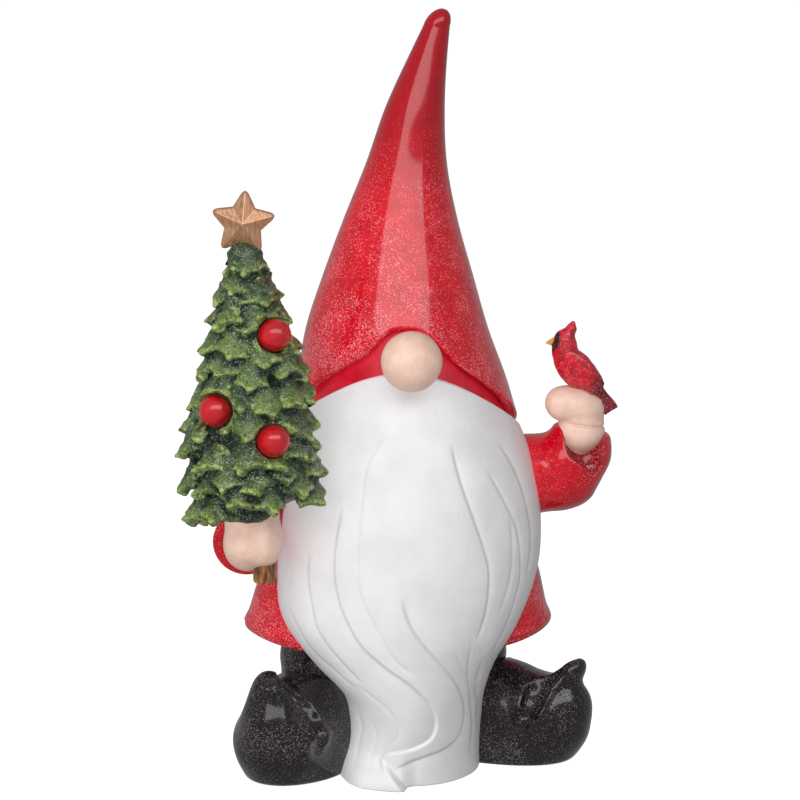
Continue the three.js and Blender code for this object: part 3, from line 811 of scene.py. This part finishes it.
def crease_relief(x, z, path, depth, lift=0.0):
    """How far the surface moves outwards near one carved crease, and how deep in the crease it is."""
    line = curve_through(path)
    steps = np.diff(line, axis=0)
    run = np.concatenate([[0], np.cumsum(length(steps))])
    away = np.full(x.shape, 1e9)
    side = np.zeros(x.shape)
    along = np.zeros(x.shape)
    for i, (start, step) in enumerate(zip(line, steps)):
        dx, dz = x - start[0], z - start[1]
        t = np.clip((dx * step[0] + dz * step[1]) / (step @ step), 0, 1)
        d = np.hypot(dx - t * step[0], dz - t * step[1])
        closer = d < away
        away = np.where(closer, d, away)
        side = np.where(closer, np.sign(dz * step[0] - dx * step[1]), side)
        along = np.where(closer, run[i] + t * (run[i + 1] - run[i]), along)
    fade = smoothstep(0, CREASE_FADE, along) * smoothstep(0, CREASE_FADE, run[-1] - along)
    # The raised side falls to the groove in a short round shoulder; both sides level out further away.
    shoulder = lift * side * smoothstep(0, 1.8, away) * np.exp(-away / CREASE_SPREAD) / 2
    core = bump(away, CREASE_WIDTH)
    groove = -depth * core - 0.4 * depth * bump(away, 3.5 * CREASE_WIDTH)
    return (shoulder + groove) * fade, fade * core * min(1, depth)


def beard_ring(angle, z):
    left, right, left_front, right_front, wide = beard_at(z)
    side = smoothstep(-0.12, 0.12, np.sin(angle))
    half = np.where(np.sin(angle) < 0, -left, right)
    front = left_front + (right_front - left_front) * side
    depth = np.where(np.cos(angle) > 0, wide - front, BEARD_BACK)
    # At the foot the left front is squarer.
    square = 1 - 0.3 * smoothstep(40, 0, z) * (1 - side) * (np.cos(angle) > 0)
    reach = np.sign(np.cos(angle)) * np.abs(np.cos(angle)) ** square
    return np.stack([half * np.sin(angle), wide - depth * reach, z + 0 * angle], -1)


def build_beard():
    front = np.linspace(-105, 105, 430)
    back = np.linspace(105, 255, 32)[1:-1]
    around = np.radians(np.concatenate([front, back]))
    top = np.full(around.shape, 215.0)
    for _ in range(6):
        edge = beard_ring(around, top)
        _, cx, cy = hat_at(top)
        top = beard_top(np.arctan2(edge[:, 0] - cx, cy - edge[:, 1])) - 1.5
    share = np.linspace(0, 1, 420)[:, None]
    z = top[None, :] * share
    points = beard_ring(around[None, :] + 0 * z, z)
    x = points[..., 0]
    relief = np.zeros(x.shape)
    shade = np.zeros(x.shape)
    facing = smoothstep(-0.15, 0.3, np.cos(around))[None, :]
    for crease in CREASES:
        rise, mark = crease_relief(x, z, **crease)
        relief += rise * facing
        shade = np.maximum(shade, mark * facing)
    # The lock on the left ends in a point, which stands in front of the rest at the ground.
    tail = smoothstep(18, 2, z) * smoothstep(1.0, -1.0, x + 0.8 * z + 1) * smoothstep(-38, -20, x)
    relief += 7 * tail * facing
    relief += 0.3 * np.sin(x / 9 + z / 37) * facing * smoothstep(200, 150, z)
    outward = np.stack([np.sin(around), -np.cos(around), 0 * around], -1)
    points = points + relief[..., None] * outward[None]
    # The top edge rolls in under the hat, and the foot is slightly rounded.
    rows = list(points)
    # The open mark greys the paint along each crease, as painted shade.
    marks = list(1 - 0.5 * shade)
    rows[0] = points[0] - outward
    edge = rows[-1]
    for turn in np.radians(np.linspace(0, 90, 8)[1:]):
        lip = edge - outward * 3.2 * (1 - math.cos(turn)) + np.array([0, 0, 1.6]) * math.sin(turn)
        rows.append(lip)
        marks.append(np.ones(len(around)))
    rows.append(rows[-1] - outward * 9)
    marks.append(np.ones(len(around)))
    obj = swept("beard_skin", np.array(rows), {"open": np.concatenate(marks)})
    dress(obj, BEARD_WHITE, "beard")


# ---- Coat ----

coat_at = Outline(COAT)


def coat_ring(angle, z, inset):
    a, b, cx, cy = coat_at(z)
    x = (a - inset) * np.sin(angle)
    y = -(b - inset) * np.cos(angle)
    c, s = math.cos(math.radians(COAT_YAW)), math.sin(math.radians(COAT_YAW))
    lift = HEM_LIFT * np.sin(angle) ** 4 * ((COAT[-1][0] - z) / (COAT[-1][0] - COAT[0][0])) ** 2
    return np.stack([cx + x * c - y * s, cy + x * s + y * c, z + lift], -1)


def build_coat():
    around = full_turn(300)
    low, high = COAT[0][0], COAT[-1][0]
    half = COAT_WALL / 2
    rows = [coat_ring(around, z, COAT_WALL) for z in np.linspace(high - 4, low + 5, 20)]
    for turn in np.radians(np.linspace(180, 360, 14)):
        z = low + HEM_ROUND + HEM_ROUND * math.sin(turn)
        rows.append(coat_ring(around, z, half - half * math.cos(turn)))
    for z in np.linspace(low + 5, high, 130):
        fold = 0.9 * np.sin(4 * around + z / 40) + 0.5 * np.sin(7 * around - z / 25)
        lip = -1.3 * bump(z - low - 4, 5)
        rows.append(coat_ring(around, z, lip + fold * smoothstep(150, 80, z)))
    for inset in (3, 6, 9):
        rows.append(coat_ring(around, high + 0.3, inset))
    rows = np.array(rows)
    count = rows.shape[0] * rows.shape[1]
    paint = {"open": np.ones(count), "dust": np.full(count, 1.15)}
    dress(swept("coat_skin", rows, paint, loop=True), RED_GLITTER, "coat")


# ---- Trousers and boots ----


def build_trousers():
    low, high = box_mm("trousers")
    plate_low = high[2] - 8
    cx, cy = (low[0] + high[0]) / 2, (low[1] + high[1]) / 2
    rx, ry = (high[0] - low[0]) / 2, (high[1] - low[1]) / 2 - 3
    plug = middle_mm("vent_plug")

    def field(p):
        x, y, z = parts(p)
        plate = np.hypot((x - cx) / rx, (y - cy) / ry) - 1
        plate = np.maximum(plate * ry, np.abs(z - plate_low - 4) - 4)
        hole = np.hypot(x - plug[0], y - plug[1]) - 6.3
        made = carve(plate, hole, 0.5)
        for foot in FEET.values():
            ankle_x, ankle_y = foot["ankle"]
            wrinkle = 0.35 * np.sin(z / 2.6 + x / 9)
            leg = np.hypot(x - ankle_x, y - ankle_y) - LEG_R - wrinkle
            leg = np.maximum(leg, np.maximum(low[2] - z, z - high[2] + 1))
            made = fuse(made, leg, 3)
        return made

    sculpt("trousers", field, 2, 1.2, BLACK_GLITTER, dusted(0.8))


def boot_field(foot):
    turn, lean = math.radians(foot["turn"]), math.radians(foot["lean"])
    x0, y0 = foot["ankle"]
    ahead = np.array([math.sin(turn), -math.cos(turn), 0])
    across = np.array([math.cos(turn), math.sin(turn), 0])
    axes = np.array([ahead, across, [0, 0, 1]])
    long = math.sin(lean) * ahead + np.array([0, 0, math.cos(lean)])
    tongue_axes = np.array([long, across, np.cross(long, across)])
    inner = foot["inner"]

    def at(s, z, w=0.0):
        return np.array([x0, y0, z]) + ahead * s + across * w * inner

    def field(p):
        sole = lump(p, at(17, 12), (45, 30, 31), axes)
        vamp = lump(p, at(14, 24), (44, 28, 28.5), axes)
        cap = fuse(ball(p, at(45, 21.5), 25), ball(p, at(56, 31), 15.5), 5)
        body = fuse(fuse(sole, vamp, 6), cap, 5)
        tongue = lump(p, at(*foot["tongue"]), foot["size"], tongue_axes)
        made = fuse(body, tongue, foot["fillet"])
        # The toe curls up: a scoop runs from behind its tip down the inner side, with a sharp rim.
        rim = [
            (*at(64.5, 53, 2), 2.2), (*at(59.5, 47.5, 7), 2.6), (*at(56, 42.5, 12), 2.8),
            (*at(54, 37, 16.5), 2.6), (*at(52.5, 31, 20.5), 2.2), (*at(51.5, 26, 23), 1.6),
        ]
        made = fuse(made, chain(p, rim, 1), 1)
        scoop = [
            (*at(60, 58, 1), 4.4), (*at(54, 54, 6), 6.2), (*at(50, 49, 12), 7),
            (*at(48, 42.5, 17.5), 7.2), (*at(47.5, 36, 22), 6.2), (*at(48, 30, 25), 4.2),
        ]
        made = carve(made, chain(p, scoop, 2), 0.8)
        # A fold beside the scoop ends in a small pillow, with a hollow ahead of it.
        made = fuse(made, ball(p, at(44, 26, 23.5), 5.6), 2.5)
        fold = [
            (*at(43, 44, 20.5), 1.4), (*at(39.5, 37, 26.5), 2.2),
            (*at(38, 29, 29.5), 2.2), (*at(41, 21.5, 29), 1.4),
        ]
        made = carve(made, chain(p, fold, 1), 1.2)
        made = carve(made, ball(p, at(51.5, 21, 27.5), 5), 2.5)
        x, y, z = parts(p)
        s = (p - at(0, 0)) @ ahead
        wrinkle = 0.8 * np.sin(s / 2.6 + z / 5) * bump(z - 46, 9) * smoothstep(26, 10, s)
        made = made + wrinkle + 0.35 * waves(p, 8)
        socket = np.hypot(x - x0, y - y0) - LEG_R - 0.5
        made = carve(made, np.maximum(socket, 42 - z), 1.5)
        return carve(made, z, 2.5)

    return field


def build_boots():
    for side, foot in FEET.items():
        node = f"{side}_boot"
        sculpt(node, boot_field(foot), 5, 1.0, BLACK_GLITTER, dusted(0.8))


# ---- Arms ----


def build_right_arm():
    joints = [(-44, 14, 158, 18), (-66, 12, 143, 19), (-83, -8, 131, 16.4), (-84.6, -48, 131.3, 16.8)]
    cuff_y = -47

    def sleeve(p):
        x, y, _ = parts(p)
        made = chain(p, joints, 6) + 0.4 * waves(p, 11) + 0.6 * np.sin(y / 3) * bump(x + 72, 12)
        made = carve(made, y - cuff_y, 2)
        mouth = bar(p, (-83, -60, 131.8), (-82.5, -34, 131.5), 12.9, 12.7)
        return carve(made, mouth, 1.6)

    def hand(p):
        # A smooth cupped fist: broad under the fir, narrower below.
        fist = bar(p, (-79.8, -64.5, 153), (-80.8, -64, 137), 14.2, 12.8)
        fist = carve(fist, 152.5 - p[..., 2], 1.5)
        heel = lump(p, (-81, -63.5, 133.5), (11.6, 11.5, 10.8))
        wrist = bar(p, (-82, -58, 131.6), (-82, -46, 131), 12.2, 12.2)
        made = fuse(fuse(fist, heel, 5), wrist, 5)
        made = fuse(made, lump(p, (-72.4, -66, 137), (8.2, 12, 13.5)), 4)
        # The fingers' lines are on its inner side.
        for z in (131.5, 137.5, 143.5):
            made = carve(made, bar(p, (-65.5, -77.5, z), (-70, -79.5, z - 0.5), 0.8, 0.5), 1.5)
        return made + 0.15 * waves(p, 6)

    sculpt("right_sleeve", sleeve, 4, 0.9, RED_GLITTER, dusted(0.5))
    sculpt("right_hand", hand, 4, 0.6, SKIN)


def build_left_arm():
    joints = [
        (44, 14, 160, 17), (66, 6, 157, 19.5), (82, 1, 160, 19), (90, -1, 170, 16), (91.5, -2, 182, 14.5)
    ]

    def mouth(p):
        # The wide cuff hangs open at the front: its mouth leans forward through the front wall.
        return chain(p, [(96, -12, 166, 5.5), (92.5, -13, 175, 9), (91, -9, 200, 13.5)], 3)

    def sleeve(p):
        x, _, z = parts(p)
        made = chain(p, joints, 7) + 0.4 * waves(p, 10, 2)
        made = made + 0.3 * np.sin((x + z) / 4.5) * bump(x - 84, 9)
        made = carve(made, mouth(p), 1.6)
        # The rim slopes down to the outside.
        return carve(made, 186 - 0.2 * (x - 79) - z, 2.5)

    def marks(points, normals):
        inside = smoothstep(1.5, 0, np.abs(mouth(points)))
        # Painted shade darkens the inside of the cuff's mouth; more glitter lies there.
        shade = openness(sleeve, points, normals) * (1 - 0.8 * inside)
        return {"open": shade, "dust": 0.5 + 0.4 * inside}

    def hand(p):
        # Two soft rolls, the forefinger over the rest of the fist, with a crease between them.
        x, _, z = parts(p)
        upper = lump(p, (89, -6.5, 196.4), (15, 11.5, 10.4), frame_of((1, 0, -0.24)))
        tip = lump(p, (79.5, -9, 197.5), (6.6, 8, 7.2))
        lower = lump(p, (91.8, -6, 183.5), (11.8, 10.8, 11))
        wrist = bar(p, (91, -3, 184), (90.5, 3, 172), 9, 7.6)
        made = fuse(fuse(fuse(upper, tip, 6), lower, 4), wrist, 6)
        crease = 0.8 * bump(z - 187 + 0.14 * (x - 90), 0.9) * smoothstep(80, 90, x)
        return made + crease + 0.12 * waves(p, 5, 1)

    sculpt("left_sleeve", sleeve, 4, 0.8, RED_GLITTER, marks)
    sculpt("left_hand", hand, 4, 0.5, SKIN)


# ---- Songbird ----


def build_songbird():
    y = -7.5
    back_axes = frame_of((0.62, 0, -0.78), (0, 1, 0))
    tail_axes = frame_of((0.56, 0, -0.83), (0, 1, 0))

    def tail(p):
        along, wide, thick = parts((p - np.array([99.5, y, 205])) @ tail_axes.T)
        blade = np.maximum(np.abs(along) - 13, np.abs(wide) - 2.4 - 0.1 * along)
        return np.maximum(blade, np.abs(thick) - 2.8) - 0.3 * np.cos(thick * 2.4)

    def wing(p, side):
        axes = frame_of((0.66, side * -0.08, -0.75), (0, 1, 0))
        centre = np.array([92, y + side * 6.6, 215])
        along, across, _ = parts((p - centre) @ axes.T)
        feathers = 0.35 * np.cos(across * 2.2) * smoothstep(-6, 4, along)
        return lump(p, centre, (14.5, 2.4, 6.2), axes[[0, 2, 1]]) + feathers

    def body(p):
        trunk = lump(p, (87, y, 216), (14, 8.2, 8.2), back_axes[[0, 2, 1]])
        head = lump(p, (81.8, y, 230.2), (6, 5.6, 6.2))
        crest = chain(p, [(82.5, y, 232.5, 4.4), (85.6, y, 237.5, 2.6), (86.4, y, 240, 1.3)], 1)
        made = fuse(fuse(trunk, head, 7), crest, 2)
        made = fuse(made, tail(p), 5)
        for side in (-1, 1):
            made = fuse(made, wing(p, side), 1.2)
        return made

    def beak(p):
        return bar(p, (78, y, 230.6), (72.8, y, 229.8), 3.2, 0.7)

    def field(p):
        return fuse(body(p), beak(p), 0.6) + 0.12 * waves(p, 1.6)

    def marks(p, normals):
        x, _, z = parts(p)
        beak_mask = smoothstep(0.6, 0, beak(p)) * smoothstep(77.2, 76.6, x)
        face = smoothstep(6.4, 5.2, length(p - np.array([77, y, 230.6]))) * (1 - beak_mask)
        return {"beak": beak_mask, "mask": face, "dusk": smoothstep(93, 104, x + 0.3 * (215 - z))}

    sculpt("songbird", field, 3, 0.42, BIRD, marks)


# ---- Fir ----


def tree_axis():
    """A function of height for the fir's leaning axis, from the trunk's foot to the star."""
    star_low, star_high = box_mm("tree_star")
    trunk_low, trunk_high = box_mm("tree_trunk")
    foot = np.array([trunk_high[0] - TRUNK_R, (trunk_low[1] + trunk_high[1]) / 2, trunk_low[2]])
    top = np.array([(star_low[0] + star_high[0]) / 2, (star_low[1] + star_high[1]) / 2, star_high[2] - 15])
    lean = (top - foot) / (top[2] - foot[2])

    def at(z):
        return foot + lean * (np.asarray(z, float)[..., None] - foot[2])

    return at


axis_at = tree_axis()
fir_at = Outline(FIR)


def fir_radius(z):
    return fir_at(np.asarray(z, float))[0]


def from_axis(p):
    x, y, _ = parts(p - axis_at(p[..., 2]))
    return np.hypot(x, y)


def clump_field(p, tip, out, droop, roll, size, spin):
    """One clump of needles: a thick hanging leaf with pointed lobes and round notches between them.
    The second value runs from -1 at the leaf's root to 1 at its tip."""
    down = math.radians(droop)
    along = out * math.cos(down) + np.array([0, 0, -math.sin(down)])
    flank = np.cross([0, 0, 1], out)
    axes = frame_of(along, np.array([0, 0, 1]) + 0.3 * out + roll * flank)
    q = (p - tip + along * size) @ axes.T
    a, s, height = parts(q)
    away = np.hypot(a, s)
    angle = np.arctan2(s, a) + spin
    # The lobes are 60 degrees apart, each with a ridge along its middle.
    edge = size * (1 - 0.24 * np.abs(np.sin(3 * angle)))
    ridge = 1.1 * np.abs(np.cos(3 * angle)) ** 3 * np.clip(away / size, 0, 1)
    # The leaf is bent back at its flanks and its tip flares outwards.
    off = height - 0.018 * np.maximum(a, 0) ** 2 + 0.05 * s * s
    half = 2.1 + 0.8 * np.clip(1 - away / size, 0, 1) + ridge
    return -fuse(-0.7 * (away - edge), half - np.abs(off), 1.4), a / size


def plan_clumps():
    """Where each clump's tip is, how it hangs and how large it is, from the top tier down."""
    plan = []
    for tier in range(TIERS):
        z = TIER_TOP - TIER_DROP * tier
        count = max(5, round(2 * math.pi * float(fir_radius(z)) / CLUMP_SPACING))
        for k in range(count):
            angle = 2 * math.pi * (k + 0.5 * (tier % 2)) / count + rng.normal(0, 0.06)
            ahead, beside = math.cos(angle), math.sin(angle)
            height = z + 3.5 * (k % 2) + rng.normal(0, 1.5)
            # The lowest tier rises to the front, over the pad, and to the beard's side, and hangs
            # lower on the other side.
            height += (6 * max(ahead, 0) + 7 * beside) * float(smoothstep(182, 150, height))
            reach = float(fir_radius(height)) + rng.normal(0, 0.8)
            # It is slimmer beside the beard and fuller away from it.
            reach += (-3 if beside > 0 else -4.5) * beside * float(smoothstep(235, 180, height))
            out = np.array([beside, -ahead, 0])
            tip = axis_at(height) + out * reach
            size = min(CLUMP_LARGEST, 0.42 * reach + 4) * rng.uniform(0.94, 1.1)
            droop, roll = CLUMP_DROOP + rng.normal(0, 5), rng.normal(0, 0.25)
            plan.append((tip, out, droop, roll, size, rng.normal(0, 0.22)))
    return plan


def foliage_core(grid):
    """The fir's body under the clumps, with the round pad that rests on the hand."""
    z = grid[..., 2]
    values = from_axis(grid) - (fir_radius(z) - 7.5) * smoothstep(298, 288, z) * smoothstep(149, 165, z)
    values = np.maximum(values, np.maximum(FOLIAGE_Z[0] + 1 - z, z - FOLIAGE_Z[1])) + 0.8 * waves(grid, 2.6)
    foot = axis_at(FOLIAGE_Z[0] + 5.5) + np.array([-5.5, -3, 0])
    return fuse(values, lump(grid, foot, (12, 13, 6)), 2)


def shape_top(values, grid):
    """The top closes to a narrow cone, with a round tuft under the star."""
    z = grid[..., 2]
    cone = 0.8 * (from_axis(grid) - 3.5 - 0.62 * (291 - z))
    values = np.maximum(values, np.maximum(cone, z - 292))
    return fuse(values, lump(grid, axis_at(283.5), (9, 8, 7)), 0.8)


def clear_ornaments(values, grid):
    """No needles stand in front of an ornament, seen along its peg or from the front."""
    for i in ORNAMENTS:
        centre = ball_centre(f"tree_ornament_{i}")
        outward = unit(centre - axis_at(centre[2]))
        for way in (outward, np.array([0, -1, 0.17])):
            values = carve(values, bar(grid, centre, centre + 25 * way, 8.6, 11), 1)
    return values


def build_foliage():
    cell = FOLIAGE_CELL
    low, high = box_mm("tree_foliage")
    low, high = low - 5, high + 9
    grid = lattice(low, high, cell)
    core = foliage_core(grid)
    values = core.copy()
    tipward = np.full(values.shape, -1.0)
    for tip, out, droop, roll, size, spin in plan_clumps():
        # Only the part of the lattice round each clump is worked out.
        middle = tip - out * size * 0.6 + np.array([0, 0, size * 0.6])
        start = np.maximum(((middle - 1.7 * size - low) / cell).astype(int), 0)
        stop = np.minimum(((middle + 1.7 * size - low) / cell).astype(int) + 1, values.shape)
        where = tuple(slice(a, b) for a, b in zip(start, stop))
        clump, along = clump_field(grid[where], tip, out, droop, roll, size, spin)
        tipward[where] = np.where(clump < values[where], along + rng.normal(0, 0.2), tipward[where])
        values[where] = fuse(values[where], clump, 0.3)
    values = clear_ornaments(shape_top(values, grid) + 0.3 * waves(grid, 1.3), grid)
    points, faces = skin_cells(values, low, cell)

    def sample(volume, where):
        i = np.clip(((where - low) / cell).round().astype(int), 0, np.array(volume.shape) - 1)
        return volume[tuple(i.T)]

    normals = unit(np.stack([sample(g, points) for g in np.gradient(values, cell)], -1))
    near = np.clip(sample(values, points + normals * 2.4) / 2.4, 0, 1)
    far = np.clip(sample(values, points + normals * 6) / 6, 0, 1)
    # The open mark darkens the paint in recesses, as painted shade.
    paint = {
        "open": 0.5 * near + 0.5 * far,
        "raised": np.clip(sample(core, points) / 12, 0, 1),
        "edge": np.clip(1.15 + sample(values, points - normals * 2.6) / 2.6, 0, 1),
        "tip": np.clip(0.5 + 0.5 * sample(tipward, points), 0, 1),
    }
    dress(new_mesh("foliage_skin", points, faces, paint), FOLIAGE, "tree_foliage")


def ball_centre(name):
    """An ornament's centre: its peg points back to the fir's axis, so the ball is at the far end."""
    low, high = box_mm(name)
    r = (high[2] - low[2]) / 2
    middle = (low + high) / 2
    inward = axis_at(middle[2]) - middle
    centre = np.where(inward > 0, low + r, high - r)
    centre[2] = middle[2]
    return centre


def build_ornaments():
    for i in ORNAMENTS:
        name = f"tree_ornament_{i}"
        centre = ball_centre(name)
        low, high = box_mm(name)
        r = (high[2] - low[2]) / 2
        inward = unit(axis_at(centre[2]) - centre)

        def field(p):
            made = fuse(ball(p, centre, r), bar(p, centre, centre + inward * (r + 4), 2, 2), 1)
            return made + 0.15 * waves(p, 4, i)

        sculpt(name, field, 1.5, 0.5, BERRY)


def build_star():
    outer, inner, blunt, lean = 18.4, 9.7, 1.9, math.radians(4.5)
    centre = axis_at(box_mm("tree_star")[1][2] - 16.3)
    # One of the ten edges, from an arm's end to the notch beside it: its normal, and its distance
    # from the centre.
    step = math.pi / 5
    run = np.array([inner * math.cos(step) - outer, inner * math.sin(step)])
    normal = np.array([run[1], -run[0]]) / np.hypot(*run)
    reach = outer * normal[0]

    def field(p):
        x, y, z = parts(p - centre)
        away = np.hypot(x, z)
        fold = np.abs((np.arctan2(x, z) - lean + step) % (2 * step) - step)
        past = away * (np.cos(fold) * normal[0] + np.sin(fold) * normal[1]) - reach
        # Each edge's facet rises from the rim to the middle.
        facet = 0.85 * (np.abs(y) - 1.8 + 5.4 * past / reach)
        made = -fuse(-past, -facet, 0.8)
        return -fuse(-made, outer - blunt - away, 2)

    sculpt("tree_star", field, 2, 0.4, STAR_GOLD, name="star_skin")


def build_trunk():
    low, high = box_mm("tree_trunk")

    def field(p):
        x, y, _ = parts(p - axis_at(p[..., 2]))
        z = p[..., 2]
        angle = np.arctan2(y, x)
        bark = 0.5 * np.abs(np.sin(4.5 * angle + 0.4 * np.sin(z / 2))) + 0.25 * np.sin(9 * angle)
        away = np.hypot(x, y) - TRUNK_R + 0.35 - bark
        return np.maximum(away, np.maximum(low[2] + 0.5 - z, z - high[2]))

    sculpt("tree_trunk", field, 1.5, 0.45, BARK, name="trunk_skin")


# ---- Build ----

for build in (
    build_hat, build_collar, build_nose, build_beard, build_coat, build_trousers, build_boots,
    build_right_arm, build_left_arm, build_songbird, build_foliage, build_ornaments, build_star, build_trunk,
):
    build()

for node, material in (
    ("vent_plug", RUBBER),
    ("beard_dowel_upper", RESIN),
    ("beard_dowel_lower", RESIN),
    ("right_arm_dowel", RESIN),
    ("left_arm_dowel", RESIN),
    ("songbird_pin", STEEL),
):
    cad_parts[node].data.materials[0] = material


# ---- Floor, light and camera ----


def build_floor():
    half, z = FLOOR_HALF, -FLOOR_DROP
    corners = [(-half, -half, z), (half, -half, z), (half, half, z), (-half, half, z)]
    obj = new_mesh("floor", np.array(corners), [[0, 1, 2, 3]])
    n = Nodes("pale_floor")
    grey = n.mix(n.noise(300, 2), (0.6, 0.6, 0.6), (0.62, 0.62, 0.62))
    glow = dict(Specular_IOR_Level=0.1, Emission_Color=(1, 1, 1), Emission_Strength=0.83)
    obj.data.materials.append(n.finish(grey, 0.7, None, **glow))
    # The sweep shows white, but its glow stays off the figure, which the boxes light.
    obj.visible_diffuse = False
    obj.visible_glossy = False


def area_light(name, place, target, size, power):
    light = bpy.data.lights.new(name, "AREA")
    light.shape = "RECTANGLE"
    light.size, light.size_y = size[0] * MM, size[1] * MM
    light.energy = power
    obj = bpy.data.objects.new(name, light)
    obj.location = Vector(place) * MM
    obj.rotation_euler = (Vector(target) - Vector(place)).to_track_quat("-Z", "Y").to_euler()
    bpy.context.collection.objects.link(obj)
    return obj


def build_light():
    world = bpy.data.worlds.new("studio")
    world.use_nodes = True
    tree = world.node_tree
    background = tree.nodes["Background"]
    background.inputs["Color"].default_value = (1, 1, 1, 1)
    # The camera sees a white sweep, which lights the figure only dimly: the boxes do the rest.
    path = tree.nodes.new("ShaderNodeLightPath")
    level = tree.nodes.new("ShaderNodeMapRange")
    level.inputs["To Min"].default_value = SWEEP_GLOW
    level.inputs["To Max"].default_value = SWEEP_SEEN
    tree.links.new(path.outputs["Is Camera Ray"], level.inputs["Value"])
    tree.links.new(level.outputs["Result"], background.inputs["Strength"])
    bpy.context.scene.world = world
    for name, box in LIGHT_BOXES.items():
        obj = area_light(name, *box)
        # Only the front box throws shadows, for the fir's would fall on the beard, or shows in the gloss.
        if name != "front_box":
            obj.data.use_shadow = False
            obj.visible_glossy = False


def build_camera():
    camera = bpy.data.cameras.new("camera")
    camera.sensor_width = 36
    camera.lens = CAMERA_LENS
    camera.clip_end = 20
    tilt = math.radians(CAMERA_ELEVATION)
    away = Vector((0, -math.cos(tilt), math.sin(tilt))) * CAMERA_DISTANCE
    obj = bpy.data.objects.new("camera", camera)
    obj.location = (Vector(CAMERA_TARGET) + away) * MM
    obj.rotation_euler = (-away).to_track_quat("-Z", "Y").to_euler()
    bpy.context.collection.objects.link(obj)
    bpy.context.scene.camera = obj


build_floor()
build_light()
build_camera()
bpy.context.scene.view_settings.view_transform = "Standard"
